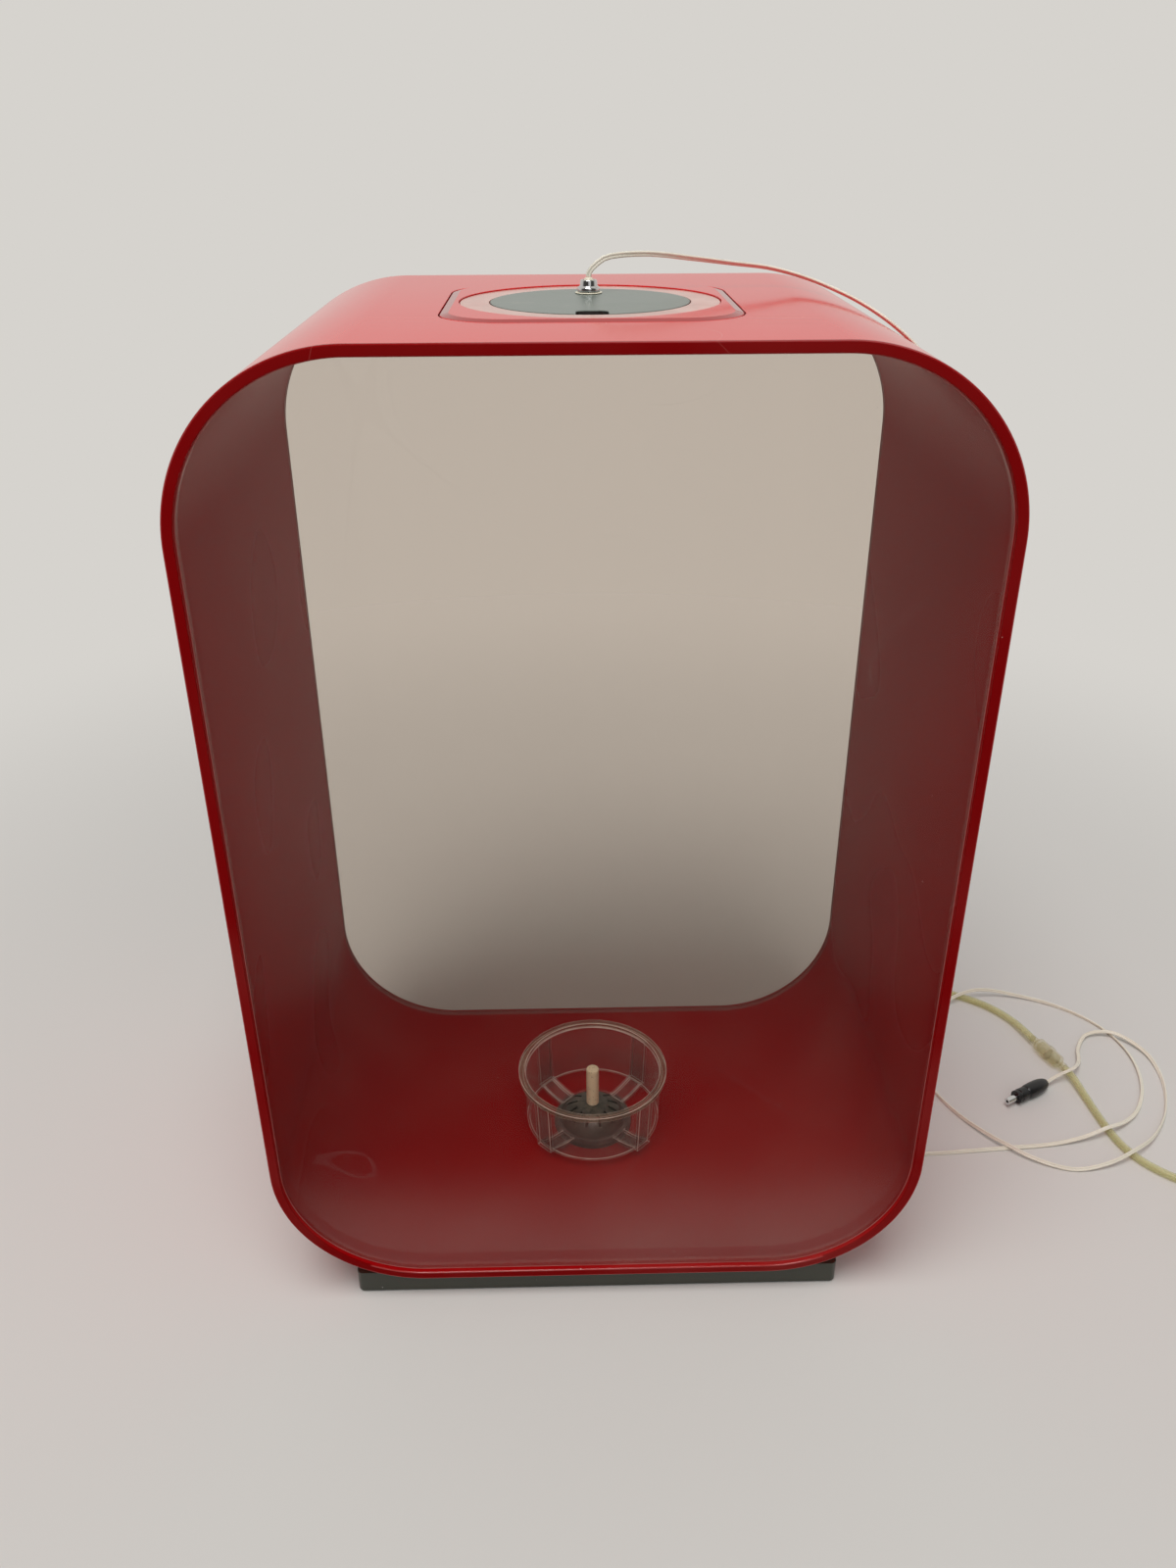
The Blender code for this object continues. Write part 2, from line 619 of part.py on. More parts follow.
combine(can, "UNION", *lug_tools)
combine(can, "DIFFERENCE", *screw_holes("lug_hole", LUG_BOTTOM - OVERRUN, CAN_TOP + OVERRUN))
finish(can, (0.75, 0.75, 0.73), 0.4)

gasket = ring(
    "lens_gasket", CAN_LOWER - GAP - GASKET_WIDTH, CAN_LOWER - GAP, CAN_LIP_TOP + GAP,
    CAN_LIP_TOP + GAP + GASKET_THICKNESS, y=CAN_BACK,
)
finish(gasket, (0.03, 0.03, 0.03), 0.8)
lens = disc("light_lens", CAN_LOWER - GAP, LENS_BOTTOM, LENS_BOTTOM + LENS_THICKNESS, y=CAN_BACK)
finish(lens, (0.95, 0.95, 0.95), 0.1, see_through=0.9)
emitter = disc(
    "led_emitter", EMITTER_RADIUS, EMITTER_BOTTOM, EMITTER_BOTTOM + EMITTER_HEIGHT, y=CAN_BACK
)
finish(emitter, (0.85, 0.75, 0.25), 0.3)
board = disc("led_board", CAN_LOWER - LOOSE, BOARD_BOTTOM, BOARD_BOTTOM + BOARD_THICKNESS, y=CAN_BACK)
finish(board, (0.85, 0.86, 0.85), 0.4)
sink = disc("heat_sink", CAN_INNER - LOOSE, SINK_BOTTOM, SINK_BOTTOM + SINK_THICKNESS, y=CAN_BACK)
finish(sink, (0.6, 0.61, 0.62), 0.3, 1.0)

HEAD_TOP = LUG_BOTTOM - GAP
HEAD_BOTTOM = HEAD_TOP - SCREW_HEAD_HEIGHT
screw_profile = [
    (0, SCREW_TOP), (SCREW_RADIUS, SCREW_TOP), (SCREW_RADIUS, HEAD_TOP), (SCREW_HEAD_RADIUS, HEAD_TOP),
    (SCREW_HEAD_RADIUS, HEAD_BOTTOM), (0, HEAD_BOTTOM),
]
screws = []
for i, (x, y) in enumerate(lug_places):
    screw = turned(f"light_screw_{i + 1}", screw_profile, 12, (x, y, 0))
    screws.append(finish(screw, (0.6, 0.6, 0.6), 0.3, 1.0))

# Cable gland: washer, body with its stem through the cover, nut inside the can and bush on top
washer = ring(
    "gland_washer", STEM_HOLE_RADIUS, WASHER_RADIUS, WASHER_BOTTOM, WASHER_BOTTOM + WASHER_THICKNESS, 32,
    y=GLAND_BACK,
)
finish(washer, (0.85, 0.83, 0.76), 0.4)
NUT_TOP = COVER_BOTTOM - GAP
NUT_BOTTOM = NUT_TOP - GLAND_NUT_HEIGHT
gland = turned(
    "cable_gland",
    [
        (GLAND_BORE_RADIUS, GLAND_TOP), (GLAND_TOP_RADIUS, GLAND_TOP), (GLAND_BASE_RADIUS, GLAND_BOTTOM),
        (GLAND_STEM_RADIUS, GLAND_BOTTOM), (GLAND_STEM_RADIUS, NUT_BOTTOM), (LEAD_RADIUS, NUT_BOTTOM),
        (LEAD_RADIUS, GLAND_TOP - GLAND_BORE_DEPTH), (GLAND_BORE_RADIUS, GLAND_TOP - GLAND_BORE_DEPTH),
    ],
    32, (0, GLAND_BACK, 0),
)
finish(gland, (0.8, 0.8, 0.8), 0.08, 1.0)
gland_nut = plate(
    "gland_nut", [hexagon(GLAND_NUT_FLATS), circle(STEM_HOLE_RADIUS, 24)], NUT_BOTTOM, NUT_TOP, y=GLAND_BACK
)
finish(gland_nut, (0.75, 0.75, 0.75), 0.25, 1.0)
BUSH_RADIUS = GLAND_BORE_RADIUS - GAP
bush = turned(
    "gland_bush",
    [
        (0, BUSH_TOP), (BUSH_RADIUS / 2, BUSH_TOP), (BUSH_RADIUS, GLAND_TOP),
        (BUSH_RADIUS, GLAND_TOP - GLAND_BORE_DEPTH + GAP), (0, GLAND_TOP - GLAND_BORE_DEPTH + GAP),
    ],
    24, (0, GLAND_BACK, 0),
)
finish(bush, (0.85, 0.82, 0.72), 0.5)

# Air inlet: bulkhead through the floor, seal above, nut and elbow below
INLET_FLANGE_TOP = INLET_FLANGE_BOTTOM + INLET_FLANGE_THICKNESS
RISER_TOP = TANK_FLOOR + RISER_HEIGHT
bulkhead = turned(
    "bulkhead",
    [
        (INLET_BORE_RADIUS, RISER_TOP), (RISER_RADIUS, RISER_TOP), (RISER_RADIUS, INLET_FLANGE_TOP),
        (INLET_FLANGE_RADIUS, INLET_FLANGE_TOP), (INLET_FLANGE_RADIUS, INLET_FLANGE_BOTTOM),
        (INLET_STEM_RADIUS, INLET_FLANGE_BOTTOM), (INLET_STEM_RADIUS, INLET_STEM_BOTTOM),
        (INLET_BORE_RADIUS, INLET_STEM_BOTTOM),
    ],
    32,
)
finish(bulkhead, (0.08, 0.085, 0.08), 0.4)
SEAL_INNER = INLET_STEM_RADIUS + GAP
SEAL_OUTER = SEAL_INNER + SEAL_WIDTH
SEAL_BOTTOM = TANK_FLOOR + GAP
seal = ring("bulkhead_seal", SEAL_INNER, SEAL_OUTER, SEAL_BOTTOM, SEAL_BOTTOM + SEAL_THICKNESS, 32)
finish(seal, (0.03, 0.03, 0.03), 0.8)
INLET_NUT_TOP = TANK_BOTTOM - GAP
inlet_nut = plate(
    "bulkhead_nut", [hexagon(INLET_NUT_FLATS), circle(INLET_STEM_RADIUS + GAP, 32)],
    INLET_NUT_TOP - INLET_NUT_HEIGHT, INLET_NUT_TOP,
)
finish(inlet_nut, (0.08, 0.085, 0.08), 0.45)
elbow = disc("inlet_elbow", ELBOW_RADIUS, ELBOW_TOP - ELBOW_HEIGHT, ELBOW_TOP, 24)
spout = turned(
    "elbow_spout",
    [(0, 0), (ELBOW_SPOUT_RADIUS, 0), (ELBOW_SPOUT_RADIUS, -ELBOW_SPOUT_LENGTH), (0, -ELBOW_SPOUT_LENGTH)],
    24, (0, 0, ELBOW_SPOUT_HEIGHT), UPRIGHT,
)
combine(elbow, "UNION", spout)
finish(elbow, (0.08, 0.085, 0.08), 0.4)


# Filter: a slotted dome over the inlet, the clear cup that rests on the dome's flange, and the air stone
def dome(radius, height, base, top_radius, steps):
    """Dome profile from its top edge down to its base, as a quarter ellipse."""
    first = math.acos(top_radius / radius)
    angles = [first * (steps - i) / steps for i in range(steps + 1)]
    rise = (height - base) / math.sin(first)
    return [(radius * math.cos(a), TANK_FLOOR + base + rise * math.sin(a)) for a in angles]


HUB_FLANGE_TOP = HUB_BOTTOM + HUB_FLANGE_THICKNESS
HUB_INNER = HUB_RADIUS - HUB_WALL
hub_base = HUB_FLANGE_TOP - TANK_FLOOR
outside = dome(HUB_RADIUS, HUB_HEIGHT, hub_base, HUB_TOP_RADIUS, 6)
inside = dome(HUB_INNER, HUB_HEIGHT - HUB_WALL, hub_base, HUB_TOP_RADIUS, 4)
hub = turned(
    "filter_hub",
    [
        (SOCKET_RADIUS, outside[0][1]), *outside,
        (HUB_FLANGE_RADIUS, HUB_FLANGE_TOP), (HUB_FLANGE_RADIUS, HUB_BOTTOM),
        (HUB_INNER, HUB_BOTTOM), *inside[::-1], (SOCKET_RADIUS, inside[0][1]),
    ],
    36,
)
slot_angle = 2 * math.pi / HUB_SLOTS
slot_middle = (HUB_SLOT_INNER + HUB_SLOT_OUTER) / 2
slot_height = HUB_FLANGE_TOP + GAP + HUB_HEIGHT / 2
hub_slots = []
for i in range(HUB_SLOTS):
    heading = slot_angle * (i + 0.5)
    place = (slot_middle * math.cos(heading), slot_middle * math.sin(heading), slot_height)
    outline = rectangle(HUB_SLOT_OUTER - HUB_SLOT_INNER, HUB_SLOT_WIDTH)
    hub_slots.append(slab(f"hub_slot_{i}", [outline], HUB_HEIGHT, place, (0, 0, heading)))
combine(hub, "DIFFERENCE", *hub_slots)
finish(hub, (0.045, 0.05, 0.045), 0.35)

RIM_INNER = CAGE_RIM_RADIUS - CAGE_RIM_WIDTH
CAGE_TOP_Z = TANK_FLOOR + CAGE_TOP
RIM_BOTTOM = CAGE_TOP_Z - CAGE_RIM_THICKNESS
CAGE_BASE_Z = TANK_FLOOR + CAGE_BASE
WALL_TOP_RADIUS = RIM_INNER + CAGE_WALL
cage = turned(
    "filter_cage",
    [
        (RIM_INNER, CAGE_TOP_Z), (CAGE_RIM_RADIUS, CAGE_TOP_Z), (CAGE_RIM_RADIUS, RIM_BOTTOM),
        (WALL_TOP_RADIUS, RIM_BOTTOM), (CAGE_BASE_RADIUS, CAGE_BASE_Z),
        (CAGE_BASE_RADIUS - CAGE_WALL, CAGE_BASE_Z), (RIM_INNER, RIM_BOTTOM),
    ],
    48,
)
RING_INNER = HUB_RADIUS + LOOSE
RING_OUTER = RING_INNER + CAGE_RING_WIDTH
RING_TOP = CAGE_RING_BOTTOM + CAGE_RING_HEIGHT
cage_ring = ring("cage_ring", RING_INNER, RING_OUTER, CAGE_RING_BOTTOM, RING_TOP, 36)

# A spoke's side view, from the ring out to the wall, and a rib's, up the outside of the wall
SPOKE_IN = (RING_INNER + RING_OUTER) / 2
SPOKE_OUT = CAGE_BASE_RADIUS - CAGE_WALL / 2
spoke_rise = CAGE_BASE_Z - CAGE_RING_BOTTOM
SPOKE_STEPS = 5
spoke_shares = [i / SPOKE_STEPS for i in range(SPOKE_STEPS + 1)]
spoke_bottom = [
    (SPOKE_IN + (SPOKE_OUT - SPOKE_IN) * share, CAGE_RING_BOTTOM + spoke_rise * share ** 2)
    for share in spoke_shares
]
spoke_side = [(r, z + SPOKE_THICKNESS) for r, z in spoke_bottom[::-1]] + spoke_bottom
RIB_TOP = RIM_BOTTOM + CAGE_RIM_THICKNESS / 2
rib_side = [
    (CAGE_BASE_RADIUS - CAGE_WALL / 2, CAGE_BASE_Z), (CAGE_BASE_RADIUS + RIB_PROUD, CAGE_BASE_Z),
    (WALL_TOP_RADIUS + RIB_PROUD, RIB_TOP), (WALL_TOP_RADIUS - CAGE_WALL / 2, RIB_TOP),
]
spokes = []
for i in range(SPOKE_COUNT):
    heading = 2 * math.pi * (i + 0.5) / SPOKE_COUNT
    spokes.append(slab(f"spoke_{i}", [spoke_side], SPOKE_WIDTH, turn=(math.pi / 2, 0, heading)))
    spokes.append(slab(f"rib_{i}", [rib_side], SPOKE_WIDTH, turn=(math.pi / 2, 0, heading)))
combine(cage, "UNION", cage_ring, *spokes)
finish(cage, (0.9, 0.9, 0.88), 0.06, see_through=1.0)

STONE_TOP = STONE_BOTTOM + STONE_LENGTH
stone = turned(
    "air_stone",
    [
        (0, STONE_TOP), (STONE_RADIUS - STONE_CHAMFER, STONE_TOP),
        (STONE_RADIUS, STONE_TOP - STONE_CHAMFER), (STONE_RADIUS, STONE_BOTTOM), (0, STONE_BOTTOM),
    ],
    24,
)
finish(stone, (0.55, 0.47, 0.33), 0.95)
nipple = disc("stone_nipple", NIPPLE_RADIUS, RISER_TOP + GAP, STONE_BOTTOM - GAP, 16)
finish(nipple, (0.7, 0.7, 0.66), 0.4)

# Check valve and plug lie on the floor along their headings; a turned piece's axis is laid along +X first
VALVE_END = VALVE_LENGTH / 2 + VALVE_SPIGOT_LENGTH
VALVE_CAVITY = VALVE_LENGTH / 2 - VALVE_CAP
valve_turn = (0, math.pi / 2, math.radians(VALVE_HEADING))
valve = turned(
    "check_valve",
    [
        (VALVE_BORE_RADIUS, VALVE_END), (VALVE_SPIGOT_RADIUS, VALVE_END),
        (VALVE_SPIGOT_RADIUS, VALVE_LENGTH / 2), (VALVE_RADIUS, VALVE_LENGTH / 2),
        (VALVE_RADIUS, -VALVE_LENGTH / 2), (VALVE_SPIGOT_RADIUS, -VALVE_LENGTH / 2),
        (VALVE_SPIGOT_RADIUS, -VALVE_END), (VALVE_BORE_RADIUS, -VALVE_END),
        (VALVE_BORE_RADIUS, -VALVE_CAVITY), (VALVE_RADIUS - VALVE_SHELL, -VALVE_CAVITY),
        (VALVE_RADIUS - VALVE_SHELL, VALVE_CAVITY), (VALVE_BORE_RADIUS, VALVE_CAVITY),
    ],
    24, VALVE_PLACE, valve_turn,
)
finish(valve, (0.85, 0.84, 0.72), 0.1, see_through=0.9)
valve_disc = turned(
    "valve_disc",
    [
        (0, VALVE_DISC_THICKNESS / 2), (VALVE_DISC_RADIUS, VALVE_DISC_THICKNESS / 2),
        (VALVE_DISC_RADIUS, -VALVE_DISC_THICKNESS / 2), (0, -VALVE_DISC_THICKNESS / 2),
    ],
    20, VALVE_PLACE, valve_turn,
)
finish(valve_disc, (0.75, 0.72, 0.62), 0.6)

plug_turn = (0, math.pi / 2, math.radians(PLUG_HEADING))
PLUG_BULGE = 8
plug_sides = [math.pi * i / PLUG_BULGE for i in range(1, PLUG_BULGE)]
plug_grip = [
    (LEAD_RADIUS + (PLUG_RADIUS - LEAD_RADIUS) * math.sin(a) ** 0.5, PLUG_LENGTH * (1 + math.cos(a)) / 2)
    for a in plug_sides
]
PLUG_END = PLUG_LENGTH + PLUG_NECK_LENGTH
plug = turned(
    "lead_plug",
    [
        (0, PLUG_END), (PLUG_NECK_RADIUS, PLUG_END), (PLUG_NECK_RADIUS, plug_grip[0][1]), *plug_grip,
        (LEAD_RADIUS, 0), (0, 0),
    ],
    20, PLUG_PLACE, plug_turn,
)
finish(plug, (0.015, 0.015, 0.016), 0.35)
SLEEVE_BOTTOM = PLUG_END + GAP
sleeve = turned(
    "plug_sleeve",
    [
        (SLEEVE_BORE_RADIUS, SLEEVE_BOTTOM + SLEEVE_LENGTH), (SLEEVE_RADIUS, SLEEVE_BOTTOM + SLEEVE_LENGTH),
        (SLEEVE_RADIUS, SLEEVE_BOTTOM), (SLEEVE_BORE_RADIUS, SLEEVE_BOTTOM),
    ],
    20, PLUG_PLACE, plug_turn,
)
finish(sleeve, (0.7, 0.7, 0.7), 0.2, 1.0)

# Light lead, from the gland's bush to the plug
lead = tube("light_lead", smooth_route(LEAD_ROUTE, LEAD_SPACING), LEAD_RADIUS, 2)
finish(lead, (0.78, 0.72, 0.58), 0.5)

# Air hose, from the elbow to the valve and on to the coil of what is left of it
valve_axis = Vector((math.cos(math.radians(VALVE_HEADING)), math.sin(math.radians(VALVE_HEADING)), 0))
valve_in = Vector(VALVE_PLACE) - valve_axis * (VALVE_END + GAP)
valve_out = Vector(VALVE_PLACE) + valve_axis * (VALVE_END + GAP)
coil_first = math.radians(COIL_START)
coil_side = Vector((math.cos(coil_first), math.sin(coil_first), 0))
coil_along = Vector((math.sin(coil_first), -math.cos(coil_first), 0))
coil_mouth = Vector((*COIL_CENTRE, COIL_LIFT)) + COIL_RADIUS * coil_side - 2 * HOSE_RADIUS * coil_along

hose = tube("air_line", smooth_route([*HOSE_ROUTE, tuple(valve_in)], HOSE_SPACING), HOSE_RADIUS, 3)
finish(hose, (0.75, 0.70, 0.48), 0.25, see_through=0.7)
tail_end = coil_mouth - GAP * coil_along
tail_straight = tail_end - 2 * HOSE_RADIUS * coil_along
tail_route = [tuple(valve_out), *TAIL_ROUTE, tuple(tail_straight), tuple(tail_end)]
tail = tube("air_line_tail", smooth_route(tail_route, HOSE_SPACING), HOSE_RADIUS, 3)
finish(tail, (0.75, 0.70, 0.48), 0.25, see_through=0.7)


def coil_points():
    """Turns that spiral in on one layer and out again on the next, and climb in the half turn between."""
    points = [coil_mouth]
    layer_steps = COIL_TURNS_PER_LAYER * COIL_POINTS_PER_TURN
    for i in range(COIL_LAYERS * layer_steps + 1):
        turns = i / COIL_POINTS_PER_TURN
        layer, along = divmod(turns, COIL_TURNS_PER_LAYER)
        inward = along if layer % 2 == 0 else COIL_TURNS_PER_LAYER - along
        climbs = [2 * (turns - COIL_TURNS_PER_LAYER * k) + 0.5 for k in range(1, COIL_LAYERS)]
        climbed = sum(min(1.0, max(0.0, climb)) for climb in climbs)
        angle = coil_first - 2 * math.pi * turns
        radius = COIL_RADIUS - COIL_PITCH * inward
        points.append(Vector((
            COIL_CENTRE[0] + radius * math.cos(angle), COIL_CENTRE[1] + radius * math.sin(angle),
            COIL_LIFT + COIL_PITCH * climbed,
        )))
    points.append(points[-1] + 2 * HOSE_RADIUS * (points[-1] - points[-2]).normalized())
    return points


coil_route = coil_points()
coil_gap = least_gap(coil_route[1:-1], HOSE_RADIUS, math.pi * COIL_RADIUS)
print(f"least gap between the coil's turns {coil_gap * 1000:.2f} mm, over {COIL_LEAST_GAP * 1000:.1f} mm")
coil = tube("air_coil", coil_route, HOSE_RADIUS, 1)
finish(coil, (0.75, 0.70, 0.48), 0.25, see_through=0.7)

tie_inner = COIL_RADIUS - COIL_PITCH * COIL_TURNS_PER_LAYER - HOSE_RADIUS - LOOSE
tie_outer = COIL_RADIUS + HOSE_RADIUS + LOOSE
tie_middle = (tie_inner + tie_outer) / 2
tie_low = COIL_LIFT - HOSE_RADIUS - GAP
tie_high = COIL_LIFT + COIL_PITCH * (COIL_LAYERS - 1) + HOSE_RADIUS + GAP
tie_width = tie_outer - tie_inner
tie_height = tie_high - tie_low
tie_heading = math.radians(TIE_ANGLE)
tie_place = (
    COIL_CENTRE[0] + tie_middle * math.cos(tie_heading),
    COIL_CENTRE[1] + tie_middle * math.sin(tie_heading),
    (tie_low + tie_high) / 2,
)
tie_outlines = [
    rounded_rectangle(tie_width + 2 * TIE_THICKNESS, tie_height + 2 * TIE_THICKNESS, 2 * TIE_THICKNESS, 4),
    rounded_rectangle(tie_width, tie_height, TIE_THICKNESS, 4),
]
tie = slab("coil_tie", tie_outlines, TIE_WIDTH, tie_place, (math.pi / 2, 0, tie_heading))
finish(tie, (0.03, 0.03, 0.03), 0.7)

# Moving bodies
carried_by(LID, lid, flange, cover, can, gasket, lens, emitter, board, sink, *screws)
carried_by(LID, washer, gland, gland_nut, bush)
carried_by(CAGE, cage)
carried_by(STONE, stone, nipple)
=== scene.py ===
import math

import bpy
from mathutils import Matrix, Vector


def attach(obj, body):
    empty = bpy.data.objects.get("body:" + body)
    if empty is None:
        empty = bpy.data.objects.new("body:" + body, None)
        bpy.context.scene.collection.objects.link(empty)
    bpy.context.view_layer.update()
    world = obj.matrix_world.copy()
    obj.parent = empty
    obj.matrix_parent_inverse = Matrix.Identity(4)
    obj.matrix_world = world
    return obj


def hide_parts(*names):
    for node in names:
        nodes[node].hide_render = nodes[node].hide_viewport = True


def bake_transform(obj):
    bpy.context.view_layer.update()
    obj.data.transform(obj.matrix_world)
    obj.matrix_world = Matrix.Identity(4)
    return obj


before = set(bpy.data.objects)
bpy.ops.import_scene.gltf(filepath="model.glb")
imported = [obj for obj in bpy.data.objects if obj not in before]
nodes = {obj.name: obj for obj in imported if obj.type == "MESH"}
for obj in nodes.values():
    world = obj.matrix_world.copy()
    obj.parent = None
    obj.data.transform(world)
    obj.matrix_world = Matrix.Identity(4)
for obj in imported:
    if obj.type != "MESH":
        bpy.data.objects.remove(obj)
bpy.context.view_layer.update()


# Tank band: one long strip of 6 mm red cast acrylic, heated and bent round into a tall frame with four
# wide corners and butt-welded. The lid's opening and the inlet's hole are sawn through it afterwards, and
# the sawn edges are broken and polished.
BAND_WIDTH, BAND_HEIGHT, BAND_DEPTH = 0.422, 0.606, 0.282
BAND_WALL, BAND_CORNER = 0.006, 0.096
BAND_FOOT = 0.019
BAND_MIDDLE = BAND_FOOT + BAND_HEIGHT / 2
TANK_FLOOR = BAND_FOOT + BAND_WALL
BAND_TOP = BAND_FOOT + BAND_HEIGHT
UPRIGHT = (math.pi / 2, 0, 0)


class Tone:
    """A value that varies over a finish, held as one socket of the finish's nodes."""

    def __init__(self, tree, socket=None):
        self.tree, self.socket = tree, socket

    def node(self, kind, settings=None, sockets=None, output=0):
        made = self.tree.nodes.new("ShaderNode" + kind)
        for name, value in (settings or {}).items():
            setattr(made, name, value)
        for name, value in (sockets or {}).items():
            if isinstance(value, Tone):
                self.tree.links.new(value.socket, made.inputs[name])
            else:
                made.inputs[name].default_value = value
        return Tone(self.tree, made.outputs[output] if made.outputs else None)

    def maths(self, operation, first, second=0.0):
        return self.node("Math", {"operation": operation}, {0: first, 1: second})

    def __add__(self, other):
        return self.maths("ADD", self, other)

    def __sub__(self, other):
        return self.maths("SUBTRACT", self, other)

    def __rsub__(self, other):
        return self.maths("SUBTRACT", other, self)

    def __mul__(self, other):
        return self.maths("MULTIPLY", self, other)

    def __pow__(self, other):
        return self.maths("POWER", self, other)

    def __lt__(self, other):
        return self.maths("LESS_THAN", self, other)

    def __gt__(self, other):
        return self.maths("GREATER_THAN", self, other)

    def __abs__(self):
        return self.maths("ABSOLUTE", self)

    __radd__, __rmul__ = __add__, __mul__


def solid(red, green, blue):
    """A colour as a screen shows it, 0 to 255, in Blender's own numbers."""
    shares = [value / 255 for value in (red, green, blue)]
    return (*(s / 12.92 if s <= 0.04045 else ((s + 0.055) / 1.055) ** 2.4 for s in shares), 1)


def new_finish(name):
    """An empty material, and the place of each point on the piece that wears it."""
    material = bpy.data.materials.new(name)
    material.use_nodes = True
    material.node_tree.nodes.clear()
    return material, Tone(material.node_tree).node("TexCoord", output="Object")


def cloudy(place, scale, detail=2.0, roughness=0.5):
    return place.node("TexNoise", {}, {
        "Vector": place, "Scale": scale, "Detail": detail, "Roughness": roughness})


def cell_pattern(place, scale, output="Distance", randomness=1.0):
    return place.node("TexVoronoi", {}, {"Vector": place, "Scale": scale, "Randomness": randomness}, output)


def hairlines(place, scale, width):
    """Long fine scratches: thin bands where a slow noise passes its middle, broken by a second one."""
    lines = abs(cloudy(place, scale, 0.0) - 0.5) < width
    return lines * (cloudy(place, scale * 1.7 + 3, 0.0) > 0.56)


def specks(place, scale, size, share):
    """Small round grains, one in a cell of a cell pattern, on a share of the cells."""
    chance = place.node("SeparateColor", {}, {"Color": cell_pattern(place, scale, "Color")}, "Red")
    return (cell_pattern(place, scale) < size) * (chance < share)


def blend_colours(share, under, over):
    return share.node("Mix", {"data_type": "RGBA"}, {"Factor": share, "A": under, "B": over}, "Result")


def axis_of(vector, axis):
    return vector.node("SeparateXYZ", {}, {"Vector": vector}, axis)


def ramp(value, start, end, first=0.0, last=1.0):
    """Goes smoothly from a first number to a last one as a value goes from its start to its end."""
    return value.node("MapRange", {"interpolation_type": "SMOOTHSTEP"}, {
        "Value": value, "From Min": start, "From Max": end, "To Min": first, "To Max": last})


def bumps(height, strength, distance):
    return height.node("Bump", {}, {"Strength": strength, "Distance": distance, "Height": height})


def finished(material, surface):
    surface.node("OutputMaterial", {}, {"Surface": surface})
    return material


def opaque(material, place, sockets):
    return finished(material, place.node("BsdfPrincipled", {}, sockets))


def red_acrylic(name, tone, pale, ior, roughness, haze):
    """Red cast sheet: deep and even, with a dry film, a few grains of dust and hair-fine scratches. The film
    is painted stronger towards the bottom, which lightens the lower rim as painted light.
    """
    material, place = new_finish(name)
    depth = blend_colours(cloudy(place, 7, 2), solid(*tone), solid(*pale))
    dusty = specks(place, 170, 0.07, 0.03)
    film = cloudy(place, 9, 3, 0.5)
    # Painted light: the film is made stronger towards the bottom, so the lower rim comes out paler.
    low = ramp(axis_of(place, "Z"), 0.02, 0.40, 1.0, 0.35)
    film_and_painted_light = place.maths("MAXIMUM", (film - 0.44) * low * haze, 0.0)
    tinted = blend_colours(film_and_painted_light, depth, solid(176, 128, 120))
    scratched = hairlines(place, 5, 0.0006)
    worn = blend_colours(scratched * 0.12, tinted, solid(206, 120, 112))
    speckled = blend_colours(dusty * 0.6, worn, solid(214, 196, 188))
    gloss = cloudy(place, 6, 1) * 0.05 + (roughness - 0.025) + dusty * 0.3
    return opaque(material, place, {
        "Base Color": speckled, "Roughness": gloss, "IOR": ior,
        "Normal": bumps(cloudy(place, 5, 0), 0.02, 0.001)})


def fresh(piece_name):
    """Names the piece that an operator has just added, and hands it over."""
    piece = bpy.context.object
    piece.name = piece_name
    piece.data.name = piece_name
    return piece


def clear_bench():
    if bpy.context.object and bpy.context.object.mode != "OBJECT":
        bpy.ops.object.mode_set(mode="OBJECT")
    bpy.ops.object.select_all(action="DESELECT")


def take_up(piece):
    """Leaves one piece selected and active, and nothing else."""
    clear_bench()
    piece.select_set(True)
    bpy.context.view_layer.objects.active = piece


def faced_outward(piece):
    bpy.ops.mesh.select_all(action="SELECT")
    bpy.ops.mesh.normals_make_consistent(inside=False)
    return piece


def rounded_outline(name, width, height, corner, steps):
    """Starts a piece as one level face with round corners, open for editing and all selected."""
    clear_bench()
    bpy.ops.mesh.primitive_plane_add(size=1)
    piece = fresh(name)
    bpy.ops.object.mode_set(mode="EDIT")
    bpy.ops.mesh.select_all(action="SELECT")
    bpy.ops.transform.resize(value=(width, height, 1))
    bpy.ops.mesh.bevel(offset=corner, offset_type="OFFSET", segments=steps, profile=0.5, affect="VERTICES")
    bpy.ops.mesh.select_all(action="SELECT")
    return piece


def rounded_blank(name, width, height, corner, thickness, steps, slope=None):
    """A level sheet with round corners, its lower face at zero. A slope tapers its upper edge."""
    piece = rounded_outline(name, width, height, corner, steps)
    bpy.ops.mesh.extrude_region_move(TRANSFORM_OT_translate={"value": (0, 0, thickness)})
    if slope:
        bpy.ops.mesh.inset(thickness=slope[0], use_even_offset=True)
        bpy.ops.transform.translate(value=(0, 0, slope[1]))
    return faced_outward(piece)


def rounded_frame(name, width, height, corner, wall, thickness, steps):
    """A level frame with round corners: a sheet's outline inset by its wall, with the middle taken out."""
    piece = rounded_outline(name, width, height, corner, steps)
    bpy.ops.mesh.inset(thickness=wall, use_even_offset=True)
    bpy.ops.mesh.delete(type="FACE")
    bpy.ops.mesh.select_all(action="SELECT")
    bpy.ops.mesh.extrude_region_move(TRANSFORM_OT_translate={"value": (0, 0, thickness)})
    return faced_outward(piece)


def put(piece, place, turn=(0, 0, 0)):
    """Sets a drafted piece in its place and keeps that place in its mesh."""
    take_up(piece)
    piece.rotation_euler = turn
    piece.location = place
    bpy.ops.object.transform_apply(location=True, rotation=True, scale=True)
    return piece


def use_modifier(piece, kind, **settings):
    modifier = piece.modifiers.new(kind.title(), kind)
    for name, value in settings.items():
        setattr(modifier, name, value)
    take_up(piece)
    bpy.ops.object.modifier_apply(modifier=modifier.name)


